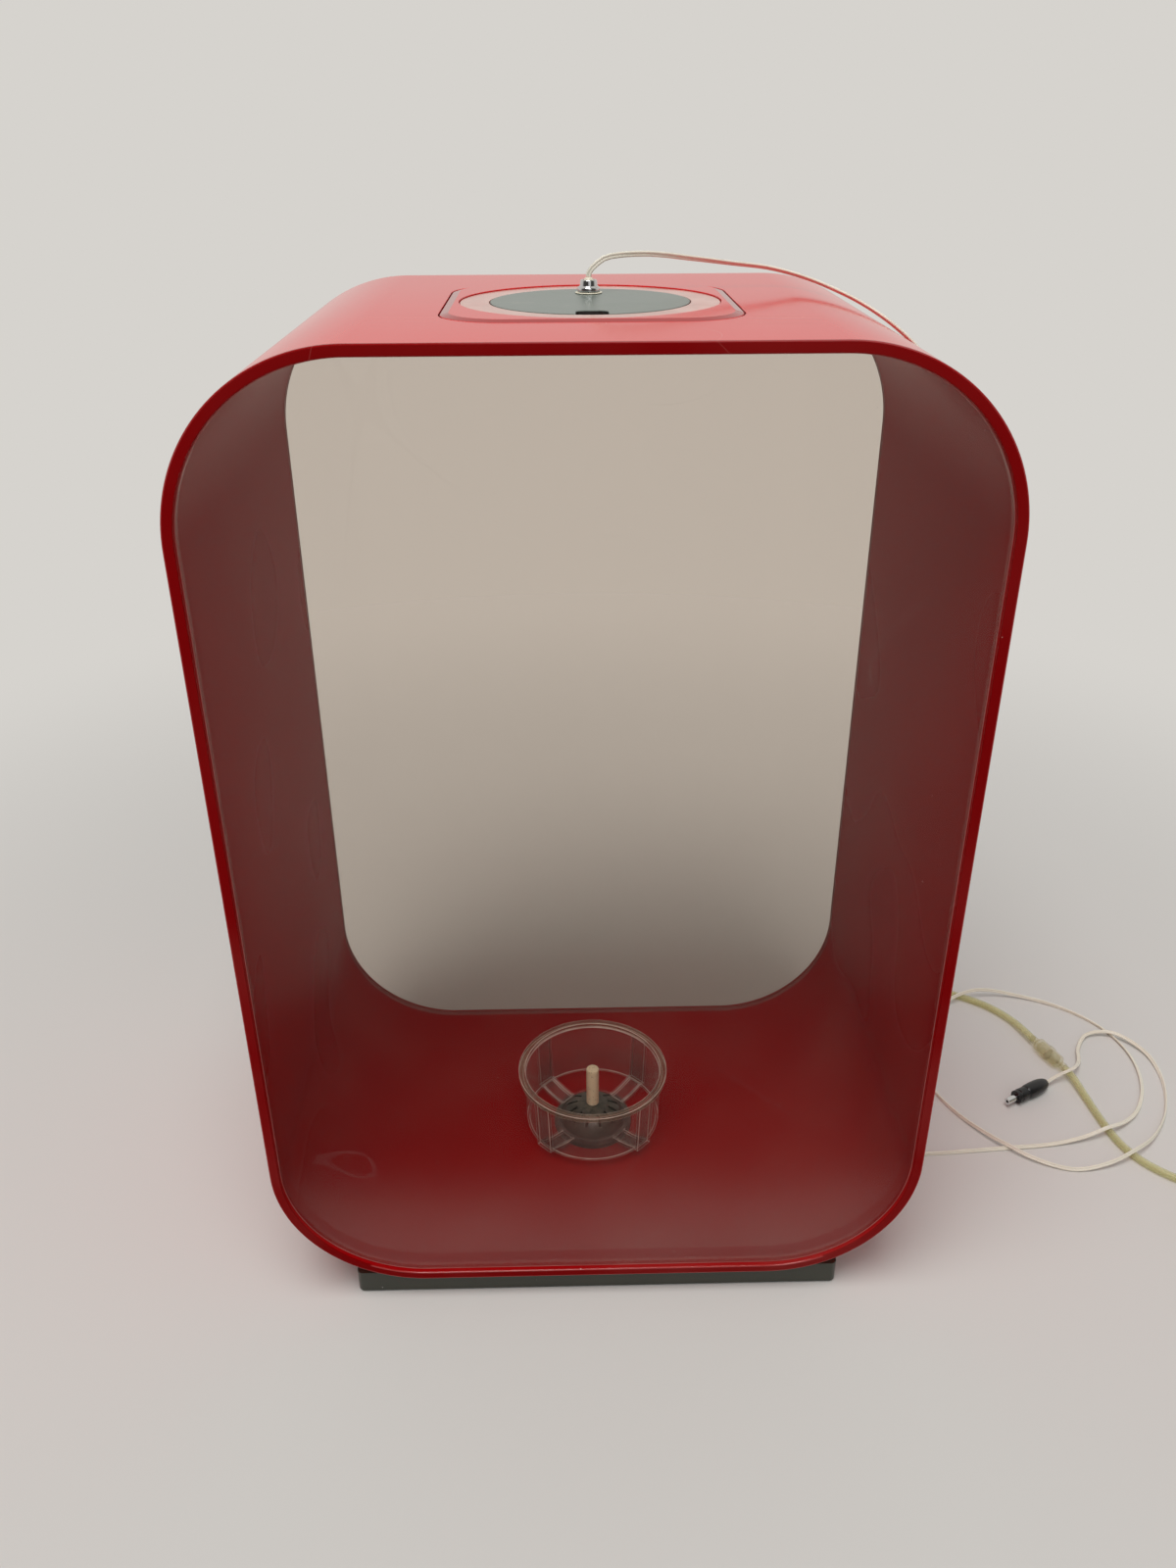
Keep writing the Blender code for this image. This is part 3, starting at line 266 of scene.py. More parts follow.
def cut(piece, *cutters):
    for cutter in cutters:
        use_modifier(piece, "BOOLEAN", operation="DIFFERENCE", solver="EXACT", object=cutter)
        bpy.data.objects.remove(cutter)


def broken_edges(piece, width, segments=2, over=35, finish=-1):
    """Breaks every sharp edge by a small round, and shades the curved faces smooth."""
    use_modifier(piece, "BEVEL", width=width, segments=segments, limit_method="ANGLE", material=finish,
                 angle_limit=math.radians(over), use_clamp_overlap=finish < 0, harden_normals=False)
    take_up(piece)
    bpy.ops.object.shade_smooth_by_angle(angle=math.radians(over))
    use_modifier(piece, "WEIGHTED_NORMAL", keep_sharp=True)


def coat(piece, material):
    piece.data.materials.clear()
    piece.data.materials.append(material)


def fit(piece, body, slot, material, *stands_for):
    """Gives a finished piece its material, the body it moves with and the CAD nodes it stands for."""
    coat(piece, material)
    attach(piece, body)
    if stands_for:
        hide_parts(*stands_for)
    return piece


def round_blank(name, radius, bottom, top, sides, y=0.0):
    """A round bar stood between two heights, to be cut or to cut with."""
    clear_bench()
    place = (0, y, (bottom + top) / 2)
    bpy.ops.mesh.primitive_cylinder_add(vertices=sides, radius=radius, depth=top - bottom, location=place)
    return put(fresh(name), place)


LID_SIZE, LID_CORNER, LID_PLAY, LID_STEPS = 0.158, 0.034, 0.0006, 16
INLET_HOLE, HOLE_SIDES, CUT_PAST = 0.0066, 48, 0.002
OPENING_CUT, OPENING_DROP = 0.020, 0.012
BAND_STEPS, BAND_EDGE, BRIGHT_RISE = 40, 0.0008, 0.008
RIM_FACING, INNER_FACING = 0.97, 0.3
INNER, RIM, BRIGHT = 1, 2, 3
band = rounded_frame("red_band", BAND_WIDTH, BAND_HEIGHT, BAND_CORNER, BAND_WALL, BAND_DEPTH, BAND_STEPS)
put(band, (0, BAND_DEPTH / 2, BAND_MIDDLE), UPRIGHT)
opening_size = LID_SIZE + 2 * LID_PLAY
opening = rounded_blank("opening", opening_size, opening_size, LID_CORNER, OPENING_CUT, LID_STEPS)
put(opening, (0, 0, BAND_TOP - OPENING_DROP))
inlet_hole = round_blank("inlet_hole", INLET_HOLE, BAND_FOOT - CUT_PAST, TANK_FLOOR + CUT_PAST, HOLE_SIDES)
cut(band, opening, inlet_hole)
broken_edges(band, BAND_EDGE)
red = red_acrylic("red_acrylic", (216, 9, 14), (226, 13, 18), 1.30, 0.12, 0.10)
# Painted shade: the inside, the rims and the polished edges are darker copies of the same red.
shaded_inner_red = red_acrylic("shaded_inner_red", (148, 4, 8), (160, 7, 11), 1.08, 0.28, 0.30)
shaded_rim_red = red_acrylic("shaded_rim_red", (117, 2, 4), (127, 4, 7), 1.08, 0.26, 0.3)
bright_edge = red_acrylic("bright_edge", (150, 6, 9), (160, 9, 12), 1.75, 0.06, 0.05)
fit(band, "tank", "red_acrylic", red, "tank_band")
for finish in (shaded_inner_red, shaded_rim_red, bright_edge):
    band.data.materials.append(finish)
# The flat rims and the inside are rougher than the outside and painted a darker red, as painted shade. The
# polished edges, also painted a darker red, are glossier and catch the light; those on the inside above the
# floor take the rims' painted shade.
for face in band.data.polygons:
    outward = Vector((face.center.x, 0, face.center.z - BAND_MIDDLE)).normalized()
    if abs(face.normal.y) > RIM_FACING:
        face.material_index = RIM
    elif abs(face.center.y) > BAND_DEPTH / 2 - BAND_EDGE:
        inner_in_shade = face.normal.dot(outward) < 0 and face.center.z > TANK_FLOOR + BRIGHT_RISE
        face.material_index = RIM if inner_in_shade else BRIGHT
    elif face.normal.dot(outward) < INNER_FACING:
        face.material_index = INNER


# Front and rear panels: clear cast acrylic, 5 mm, sawn to the band's inside, with polished edges, and
# bonded in a little behind the band's two rims. A thin bead of clear cement shows as a pale line round each.
PANEL_THICKNESS, PANEL_SET_BACK, PANEL_PLAY, PANEL_EDGE = 0.005, 0.0035, 0.0003, 0.0004
PANEL_FACE = BAND_DEPTH / 2 - PANEL_SET_BACK
PANEL_INSET = BAND_WALL + PANEL_PLAY
BEAD_WIDTH, BEAD_HEIGHT, BEAD_PLAY, BEAD_EDGE = 0.0005, 0.0003, 0.00005, 0.0001
BEAD_INSET = BAND_WALL + BEAD_PLAY


def facing(place, blend=0.5):
    return place.node("LayerWeight", {}, {"Blend": blend}, "Facing")


def see_through(material, share, tint, wall):
    """A clear finish: a share of the light meets the wall's own surface, and the rest goes straight on."""
    clean = share.node("BsdfTransparent", {}, {"Color": tint})
    surface = share.node("BsdfPrincipled", {}, wall)
    return finished(material, share.node("MixShader", {}, {
        0: share.maths("MINIMUM", share, 1.0), 1: clean, 2: surface}))


def clear_acrylic(name, veil, tint, haze):
    """Clear sheet: it lets light straight through, mirrors more at a flat angle, and has a dry film."""
    material, place = new_finish(name)
    film = cloudy(place, 5, 5, 0.6)
    smears = cloudy(place.node("Mapping", {}, {"Vector": place, "Scale": (9, 9, 2.2)}), 1.0, 3)
    scratched = hairlines(place, 6, 0.0010)
    dusty = specks(place, 130, 0.06, 0.02)
    gloss = facing(place) ** 5.0 * 0.6 + 0.004
    low = ramp(axis_of(place, "Z"), 0.03, 0.13, 0.075, 0.0)
    share = gloss + film * smears * veil + low * (film + 0.5) + scratched * 0.03 + dusty * 0.25
    return see_through(material, share, tint, {
        "Base Color": haze, "Metallic": 0.72, "Roughness": film * 0.10 + 0.02 + dusty * 0.5})


def cement():
    # Painted light: the clear bead is drawn opaque and milky, and its pink is the red band's light painted
    # into it.
    material, place = new_finish("cement")
    milky = cloudy(place, 40, 3)
    return opaque(material, place, {
        "Base Color": blend_colours(milky, solid(136, 54, 52), solid(190, 118, 112)),
        "Roughness": milky * 0.2 + 0.25, "IOR": 1.2})


panel_finish = clear_acrylic("clear_acrylic", 0.03, solid(247, 244, 241), solid(206, 196, 192))
cement_finish = cement()
for side, turn in (("front", -1), ("rear", 1)):
    panel = rounded_blank(
        f"clear_{side}", BAND_WIDTH - 2 * PANEL_INSET, BAND_HEIGHT - 2 * PANEL_INSET,
        BAND_CORNER - PANEL_INSET, PANEL_THICKNESS, BAND_STEPS)
    put(panel, (0, PANEL_THICKNESS - PANEL_FACE if turn < 0 else PANEL_FACE, BAND_MIDDLE), UPRIGHT)
    broken_edges(panel, PANEL_EDGE)
    fit(panel, "tank", "clear_acrylic", panel_finish, f"{side}_panel")
    bead = rounded_frame(
        f"{side}_cement", BAND_WIDTH - 2 * BEAD_INSET, BAND_HEIGHT - 2 * BEAD_INSET,
        BAND_CORNER - BAND_WALL, BEAD_WIDTH, BEAD_HEIGHT, BAND_STEPS)
    put(bead, (0, turn * (PANEL_FACE + BEAD_HEIGHT / 2) + BEAD_HEIGHT / 2, BAND_MIDDLE), UPRIGHT)
    broken_edges(bead, BEAD_EDGE, 1)
    fit(bead, "tank", "clear_acrylic", cement_finish)


# Plinth: a shallow tray of smoked acrylic under the tank, open below, with a hole for the inlet's nut, a
# slot at the rear for the air hose and a thin rubber pad under each corner.
PLINTH_WIDTH, PLINTH_DEPTH, PLINTH_HEIGHT, PLINTH_FOOT = 0.330, 0.270, 0.0172, 0.0015
PLINTH_WALL, PLINTH_DECK, PLINTH_CORNER, PLINTH_STEPS, PLINTH_EDGE = 0.014, 0.003, 0.004, 6, 0.0005
NUT_HOLE, NUT_HOLE_RISE, NUT_HOLE_TOP = 0.015, 0.004, 0.030
HOSE_SLOT = (0.016, 0.030, 0.020)


def bar(name, length, width, height, place, heading=0.0):
    """A square bar, its middle at a place and its length along a heading."""
    clear_bench()
    bpy.ops.mesh.primitive_cube_add(size=1)
    piece = fresh(name)
    piece.scale = (length, width, height)
    return put(piece, place, (0, 0, heading))


def plain_plastic(name, tone, pale, roughness, relief=0.08, dust=0.03):
    """Moulded or turned plastic, rubber or enamel: mottled a little, with a fine grain and some dust."""
    material, place = new_finish(name)
    mottled = blend_colours(cloudy(place, 22, 3), solid(*tone), solid(*pale))
    fine = cloudy(place, 960, 2)
    dusty = specks(place, 330, 0.11, dust)
    speckled = blend_colours(dusty * 0.6, mottled, solid(206, 200, 190))
    return opaque(material, place, {
        "Base Color": speckled, "Normal": bumps(fine, relief, 0.0004),
        "Roughness": cloudy(place, 120, 3) * 0.16 + (roughness - 0.08) + dusty * 0.3})


plinth = rounded_blank("plinth_tray", PLINTH_WIDTH, PLINTH_DEPTH, PLINTH_CORNER, PLINTH_HEIGHT, PLINTH_STEPS)
put(plinth, (0, 0, PLINTH_FOOT))
pocket = rounded_blank("pocket", PLINTH_WIDTH - 2 * PLINTH_WALL, PLINTH_DEPTH - 2 * PLINTH_WALL,
                       PLINTH_CORNER, PLINTH_HEIGHT, PLINTH_STEPS)
put(pocket, (0, 0, PLINTH_FOOT - PLINTH_DECK))
nut_hole = round_blank("nut_hole", NUT_HOLE, PLINTH_FOOT + NUT_HOLE_RISE, NUT_HOLE_TOP, HOLE_SIDES)
hose_slot = bar("hose_slot", *HOSE_SLOT, (0, PLINTH_DEPTH / 2 - PLINTH_WALL / 2, PLINTH_FOOT))
cut(plinth, pocket, nut_hole, hose_slot)
broken_edges(plinth, PLINTH_EDGE)
smoked = plain_plastic("smoked_acrylic", (44, 46, 36), (57, 58, 47), 0.10, relief=0.02, dust=0.06)
fit(plinth, "tank", "smoked_acrylic", smoked, "plinth")
rubber = plain_plastic("rubber", (22, 22, 22), (34, 33, 32), 0.78, relief=0.25)
for name in ("front_left_pad", "front_right_pad", "rear_left_pad", "rear_right_pad"):
    coat(nodes[name], rubber)


# Air inlet: a black nylon bulkhead through the tank's floor with a rubber ring above, and its nut and a
# push-on elbow below, inside the plinth.
black_plastic = plain_plastic("black_plastic", (20, 20, 21), (32, 32, 33), 0.38)
for name in ("bulkhead", "bulkhead_nut", "inlet_elbow"):
    coat(nodes[name], black_plastic)
coat(nodes["bulkhead_seal"], rubber)


# Filter hub: a dark slotted dome, moulded in one with its flange, that stands over the inlet. The water
# has left it dull, with a dry pale bloom on its upper side.
HUB_FLANGE, HUB_RADIUS, HUB_TOP = 0.0295, 0.0245, 0.0065
HUB_FOOT, HUB_STEP, HUB_HEIGHT, HUB_WALL = 0.0253, 0.0290, 0.0195, 0.003
HUB_BORE, HUB_SLOTS, HUB_SLOT_WIDTH = 0.0026, 12, 0.002
HUB_SLOT_INNER, HUB_SLOT_OUTER, HUB_SLOT_RISE = 0.012, 0.0205, 0.0003
HUB_SIDES, OUTSIDE_STEPS, INSIDE_STEPS, HUB_EDGE = 72, 14, 8, 0.0003
MERGE_DISTANCE = 0.000002


def drawn_corners(name, corners, aside=0.0):
    """Draws a side view's corners one after another from a single vertex, and leaves them all selected."""
    clear_bench()
    bpy.ops.mesh.primitive_plane_add(size=0.001)
    piece = fresh(name)
    bpy.ops.object.mode_set(mode="EDIT")
    bpy.ops.mesh.select_all(action="SELECT")
    bpy.ops.mesh.merge(type="CENTER")
    bpy.ops.mesh.select_mode(type="VERT")
    bpy.ops.mesh.select_all(action="SELECT")
    bpy.ops.transform.translate(value=(corners[0][0], aside, corners[0][1]))
    for (near, low), (far, high) in zip(corners, corners[1:]):
        bpy.ops.mesh.extrude_vertices_move(TRANSFORM_OT_translate={"value": (far - near, 0, high - low)})
    bpy.ops.mesh.select_all(action="SELECT")
    bpy.ops.mesh.remove_doubles(threshold=MERGE_DISTANCE)
    bpy.ops.mesh.select_all(action="SELECT")
    return piece


def turned(name, profile, sides, place=(0, 0, 0), turn=(0, 0, 0)):
    """Draws a half section, closed unless it starts on the axis, and spins it round as on a lathe."""
    closing = [profile[0]] if profile[0][0] > 0 else []
    piece = drawn_corners(name, [*profile, *closing])
    bpy.ops.mesh.spin(steps=sides, angle=2 * math.pi, center=(0, 0, 0), axis=(0, 0, 1))
    bpy.ops.mesh.select_all(action="SELECT")
    bpy.ops.mesh.remove_doubles(threshold=MERGE_DISTANCE)
    bpy.ops.mesh.normals_make_consistent(inside=False)
    return put(piece, place, turn)


def dome(radius, height, base, top_radius, steps):
    """A quarter ellipse from the dome's top edge down to its base."""
    first = math.acos(top_radius / radius)
    rise = (height - base) / math.sin(first)
    angles = [first * (steps - i) / steps for i in range(steps + 1)]
    return [(radius * math.cos(a), TANK_FLOOR + base + rise * math.sin(a)) for a in angles]


hub_base = HUB_STEP - TANK_FLOOR
outside = dome(HUB_RADIUS, HUB_HEIGHT, hub_base, HUB_TOP, OUTSIDE_STEPS)
inside = dome(HUB_RADIUS - HUB_WALL, HUB_HEIGHT - HUB_WALL, hub_base, HUB_TOP, INSIDE_STEPS)
hub = turned("slotted_hub", [
    (HUB_BORE, outside[0][1]), *outside, (HUB_FLANGE, HUB_STEP), (HUB_FLANGE, HUB_FOOT),
    (HUB_RADIUS - HUB_WALL, HUB_FOOT), *inside[::-1], (HUB_BORE, inside[0][1])], HUB_SIDES)
slot_length = HUB_SLOT_OUTER - HUB_SLOT_INNER
slot_middle = (HUB_SLOT_INNER + HUB_SLOT_OUTER) / 2
slot_height = HUB_STEP + HUB_SLOT_RISE + HUB_HEIGHT / 2
for i in range(HUB_SLOTS):
    heading = 2 * math.pi * (i + 0.5) / HUB_SLOTS
    slot_place = (slot_middle * math.cos(heading), slot_middle * math.sin(heading), slot_height)
    cut(hub, bar(f"hub_slot_{i}", slot_length, HUB_SLOT_WIDTH, HUB_HEIGHT, slot_place, heading))
broken_edges(hub, HUB_EDGE)


def bloomed_plastic():
    material, place = new_finish("dark_filter")
    bloom = cloudy(place, 150, 5, 0.7)
    upward = axis_of(place.node("NewGeometry", output="Normal"), "Z")
    crust = place.maths("MAXIMUM", (bloom - 0.44) * upward * 1.4, 0.0)
    shade = blend_colours(place.maths("MINIMUM", crust, 0.45), solid(50, 51, 45), solid(156, 150, 132))
    return opaque(material, place, {
        "Base Color": shade, "Roughness": bloom * 0.4 + 0.16, "Normal": bumps(bloom, 0.25, 0.0005)})


fit(hub, "tank", "dark_filter", bloomed_plastic(), "filter_hub")


# Filter cup: one clear polystyrene moulding. A thin tapered wall with a wide rim has four flat ribs down
# its outside, and four channelled spokes run in from its foot to the ring that rests on the hub.
RIM_RADIUS, RIM_INNER, RIM_FOOT, RIM_TOP, RIM_STEP = 0.056, 0.0510, 0.0765, 0.080, 0.0005
CUP_BASE, CUP_BASE_RADIUS, CUP_HEAD_RADIUS, CUP_WALL = 0.034, 0.0505, 0.0525, 0.002
RING_FOOT, RING_TOP, RING_INNER, RING_OUTER = 0.0293, 0.0320, 0.0251, 0.0292
SPOKE_WIDTH, SPOKE_THICKNESS, SPOKE_FLOOR, SPOKE_SIDE, SPOKE_STEPS = 0.014, 0.0025, 0.0011, 0.0022, 10
RIB_THICKNESS, RIB_SINK, RIB_COUNT = 0.0022, 0.0005, 4
CUP_SIDES, RING_SIDES, CUP_EDGE, RIM_MARGIN = 96, 72, 0.00035, 0.0002
CUP_EDGES, CUP_RIM = 1, 2


def drawn_strip(name, outline, width, aside=0.0):
    """A side view drawn corner by corner, filled and extruded to its width."""
    piece = drawn_corners(name, [*outline, outline[0]], aside - width / 2)
    bpy.ops.mesh.edge_face_add()
    bpy.ops.mesh.extrude_region_move(TRANSFORM_OT_translate={"value": (0, width, 0)})
    return faced_outward(piece)


def turned_copy(piece, name, heading):
    """A copy of a piece with a mesh of its own, turned to a heading."""
    take_up(piece)
    bpy.ops.object.duplicate(linked=False)
    return put(fresh(name), (0, 0, 0), (0, 0, heading))


def clear_moulding(name, tint, edge, veil, grazing=0.5):
    """Clear moulded plastic: see-through in the flat, and pale where it is seen along its wall."""
    material, place = new_finish(name)
    film = cloudy(place, 60, 4)
    return see_through(material, facing(place) ** 3.5 * grazing + film * veil + 0.01, tint, {
        "Base Color": edge, "Metallic": 0.3, "Roughness": film * 0.12 + 0.03, "IOR": 1.59})


cup_finish = clear_moulding("clear_cup", solid(253, 251, 250), solid(232, 212, 206), 0.11)
# Painted highlights: the cup's broken edges are drawn nearly opaque and pale, standing in for the light they
# catch.
cup_edge_highlights = clear_moulding("cup_edge_highlights", solid(246, 232, 230), solid(255, 236, 229), 2.0, 0.3)
cup_rim = clear_moulding("cup_rim", solid(238, 232, 224), solid(196, 182, 164), 0.34)
cup = turned("clear_cup", [
    (RIM_INNER, RIM_TOP), (RIM_RADIUS, RIM_TOP), (RIM_RADIUS, RIM_FOOT), (CUP_HEAD_RADIUS, RIM_FOOT),
    (CUP_BASE_RADIUS, CUP_BASE), (CUP_BASE_RADIUS - CUP_WALL, CUP_BASE),
    (CUP_HEAD_RADIUS - CUP_WALL, RIM_FOOT), (RIM_INNER, RIM_FOOT + RIM_STEP)], CUP_SIDES)
cup_ring = turned("cup_ring", [
    (RING_INNER, RING_TOP), (RING_OUTER, RING_TOP), (RING_OUTER, RING_FOOT), (RING_INNER, RING_FOOT)],
    RING_SIDES)
spoke_in, spoke_out = (RING_INNER + RING_OUTER) / 2, CUP_BASE_RADIUS - CUP_WALL / 2
spoke_line = [
    (spoke_in + (spoke_out - spoke_in) * i / SPOKE_STEPS,
     RING_FOOT + (CUP_BASE - RING_FOOT) * (i / SPOKE_STEPS) ** 2) for i in range(SPOKE_STEPS + 1)]
spoke_side = [(r, z + SPOKE_THICKNESS) for r, z in spoke_line[::-1]] + spoke_line
spoke_floor = [(r, z + SPOKE_FLOOR) for r, z in spoke_line[::-1]] + spoke_line
rib_side = [
    (CUP_BASE_RADIUS - RIB_SINK, CUP_BASE), (CUP_BASE_RADIUS + RIB_THICKNESS, CUP_BASE),
    (CUP_HEAD_RADIUS + RIB_THICKNESS, RIM_FOOT), (CUP_HEAD_RADIUS - RIB_SINK, RIM_FOOT)]
side_middle = (SPOKE_WIDTH - SPOKE_SIDE) / 2
strips = [
    drawn_strip("rib", rib_side, SPOKE_WIDTH),
    drawn_strip("spoke_left", spoke_side, SPOKE_SIDE, -side_middle),
    drawn_strip("spoke_right", spoke_side, SPOKE_SIDE, side_middle),
    drawn_strip("spoke_floor", spoke_floor, SPOKE_WIDTH - 2 * SPOKE_SIDE)]
cup_parts = [cup, cup_ring]
for i in range(RIB_COUNT):
    heading = 2 * math.pi / RIB_COUNT * (i + 0.5)
    cup_parts += [turned_copy(strip, f"{strip.name}_{i}", heading) for strip in strips]
for strip in strips:
    bpy.data.objects.remove(strip)
for part in cup_parts:
    coat(part, cup_finish)
    for finish in (cup_edge_highlights, cup_rim):
        part.data.materials.append(finish)
    broken_edges(part, CUP_EDGE, finish=0 if part is cup_ring else CUP_EDGES)
for face in cup.data.polygons:
    if face.material_index == 0 and face.center.z > RIM_FOOT - RIM_MARGIN:
        face.material_index = CUP_RIM
clear_bench()
for part in cup_parts:
    part.select_set(True)
bpy.context.view_layer.objects.active = cup
bpy.ops.object.join()
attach(cup, "cage")
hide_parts("filter_cage")


# Air stone: a short rod of fused sand grains, cream and porous, with its ends worn round. It is pushed on
# to a moulded nipple that stands in the hub.
STONE_RADIUS, STONE_FOOT, STONE_TOP, STONE_SIDES, STONE_EDGE = 0.00475, 0.0448, 0.0785, 64, 0.0003
stone = turned("sand_stone", [
    (0, STONE_TOP), (STONE_RADIUS - 0.0009, STONE_TOP), (STONE_RADIUS - 0.0003, STONE_TOP - 0.0003),
    (STONE_RADIUS, STONE_TOP - 0.0010), (STONE_RADIUS, STONE_FOOT + 0.0006),
    (STONE_RADIUS - 0.0006, STONE_FOOT), (0, STONE_FOOT)], STONE_SIDES)
broken_edges(stone, STONE_EDGE)


def fused_sand():
    material, place = new_finish("air_stone")
    grains, pores = cell_pattern(place, 1500), cell_pattern(place, 420)
    stain = cloudy(place, 120, 4)
    sandy = blend_colours(stain, solid(242, 226, 184), solid(252, 242, 212))
    pitted = blend_colours((pores < 0.20) * 0.6, sandy, solid(150, 128, 92))
    return opaque(material, place, {
        "Base Color": pitted, "Roughness": stain * 0.1 + 0.85,
        "Normal": bumps(grains * 0.6 + pores, 0.7, 0.0006)})


fit(stone, "stone", "air_stone", fused_sand(), "air_stone")
pale_plastic = plain_plastic("pale_plastic", (196, 192, 176), (214, 208, 192), 0.4)
coat(nodes["stone_nipple"], pale_plastic)


# Lid ledge and lid: a clear ledge is bonded under the opening, and the lid, a rounded square of the same
# red acrylic with a turned recess and a round hole for the light, drops on to it.
LID_FOOT, LID_TOP = 0.6190, 0.6260
RECESS_RADIUS, RECESS_DEPTH, LIGHT_HOLE, LIGHT_SIDES = 0.072, 0.004, 0.060, 96
LID_SLOPE, LID_EDGE, LID_EDGE_ANGLE = (0.0046, 0.0012), 0.0003, 8
SLOPE_LEAST, SLOPE_MOST = 0.94, 0.99
coat(nodes["lid_ledge"], panel_finish)
lid = rounded_blank(
    "red_lid", LID_SIZE, LID_SIZE, LID_CORNER, LID_TOP - LID_FOOT - LID_SLOPE[1], LID_STEPS, LID_SLOPE)
put(lid, (0, 0, LID_FOOT))
cut(lid, round_blank("light_hole", LIGHT_HOLE, LID_FOOT - CUT_PAST, LID_TOP + CUT_PAST, LIGHT_SIDES),
    round_blank("light_recess", RECESS_RADIUS, LID_TOP - RECESS_DEPTH, LID_TOP + CUT_PAST, LIGHT_SIDES))
broken_edges(lid, LID_EDGE, over=LID_EDGE_ANGLE)
fit(lid, "lid", "red_acrylic", red, "lid_plate")
# The lid's sloped edge is glossier than its top and painted a darker red, as painted shade.
lid.data.materials.append(red_acrylic("polished_shaded_slope", (156, 5, 9), (168, 8, 12), 1.6, 0.06, 0.05))
for face in lid.data.polygons:
    face.material_index = 1 if SLOPE_LEAST < face.normal.z < SLOPE_MOST else 0


# Light flange: a turned ring of clear acrylic with a skirt, dropped into the lid's recess, with a notch
# milled through its front for feeding. Seen on the red lid it looks pale pink.
FLANGE_RADIUS, FLANGE_TOP, FLANGE_FOOT, SKIRT_RADIUS, SKIRT_FOOT = 0.0714, 0.6253, 0.6223, 0.0594, 0.6173
SEAT_RADIUS, SEAT_INNER, SEAT_TOP = 0.0556, 0.050, 0.6220
FLANGE_SIDES, FLANGE_EDGE, COVER_PLAY = 96, 0.0004, 0.0006
COVER_RADIUS, NOTCH_WIDTH, NOTCH_LENGTH, NOTCH_CORNER, NOTCH_STEPS = 0.0550, 0.017, 0.0145, 0.005, 8
RING_NOTCH_LENGTH, RING_NOTCH_DEPTH, RING_NOTCH_PLACE = 0.010, 0.006, -0.0532


def notch_cutter(name, front, bottom, top):
    """The feeding notch: straight in from the front, with two round corners at its inner end."""
    inner = -COVER_RADIUS + NOTCH_LENGTH
    cutter = rounded_blank(name, NOTCH_WIDTH, 2 * (inner - front), NOTCH_CORNER, top - bottom, NOTCH_STEPS)
    return put(cutter, (0, front, bottom))


flange = turned("pale_ring", [
    (SEAT_RADIUS, FLANGE_TOP), (FLANGE_RADIUS, FLANGE_TOP), (FLANGE_RADIUS, FLANGE_FOOT),
    (SKIRT_RADIUS, FLANGE_FOOT), (SKIRT_RADIUS, SKIRT_FOOT), (SEAT_INNER, SKIRT_FOOT),
    (SEAT_INNER, SEAT_TOP), (SEAT_RADIUS, SEAT_TOP)], FLANGE_SIDES)
flange_notch = notch_cutter(
    "flange_notch", -COVER_RADIUS + COVER_PLAY, SKIRT_FOOT - CUT_PAST, SEAT_TOP + CUT_PAST / 2)
ring_notch = rounded_blank(
    "ring_notch", NOTCH_WIDTH, RING_NOTCH_LENGTH, NOTCH_CORNER, RING_NOTCH_DEPTH, NOTCH_STEPS)
put(ring_notch, (0, RING_NOTCH_PLACE, SEAT_TOP - CUT_PAST))
cut(flange, flange_notch, ring_notch)
broken_edges(flange, FLANGE_EDGE)


def pale_clear():
    material, place = new_finish("pale_ring")
    film = cloudy(place, 35, 4)
    # The milky pink is painted: it is the red lid's light seen through the clear ring.
    milky = blend_colours(film, solid(228, 174, 162), solid(246, 208, 196))
    share = facing(place) ** 5.0 * 0.4 + film * 0.2 + 0.50
    return see_through(material, share, solid(244, 224, 220), {
        "Base Color": milky, "Roughness": film * 0.12 + 0.10, "IOR": 1.49})


fit(flange, "lid", "pale_ring", pale_clear(), "light_flange")


# Light cover: a grey disc with a satin top that sits in the flange, with a round-cornered feeding notch
# at the front and a hole for the cable gland.
COVER_FOOT, COVER_TOP, COVER_SIDES, COVER_EDGE = 0.6223, 0.6256, 128, 0.0005
GLAND_BACK, STEM_HOLE, SIDE_FACING = 0.033, 0.0038, 0.3
cover = round_blank("grey_cover", COVER_RADIUS, COVER_FOOT, COVER_TOP, COVER_SIDES)
cover_span = (COVER_FOOT - CUT_PAST, COVER_TOP + CUT_PAST)
cut(cover, notch_cutter("cover_notch", -COVER_RADIUS - CUT_PAST, *cover_span),
    round_blank("stem_hole", STEM_HOLE, *cover_span, HOLE_SIDES, y=GLAND_BACK))
broken_edges(cover, COVER_EDGE)


def satin_grey():
    material, place = new_finish("grey_cover")
    film = cloudy(place, 45, 4, 0.6)
    scratched = hairlines(place, 30, 0.004)
    dusty = specks(place, 420, 0.11, 0.06)
    shade = blend_colours(film, solid(100, 111, 104), solid(123, 132, 124))
    worn = blend_colours(scratched * 0.4 + dusty * 0.5, shade, solid(186, 184, 176))
    return opaque(material, place, {
        "Base Color": worn, "Roughness": film * 0.14 + 0.24 + scratched * 0.1,
        "Normal": bumps(cloudy(place, 2600, 2), 0.12, 0.0002)})


fit(cover, "lid", "grey_cover", satin_grey(), "light_cover")
# Painted shade: the cover's sides, the feeding notch's walls among them, are drawn near-black for the shade
# in the notch.
cover.data.materials.append(plain_plastic("shaded_side", (30, 30, 28), (44, 44, 41), 0.3))
for face in cover.data.polygons:
    face.material_index = 1 if abs(face.normal.z) < SIDE_FACING else 0


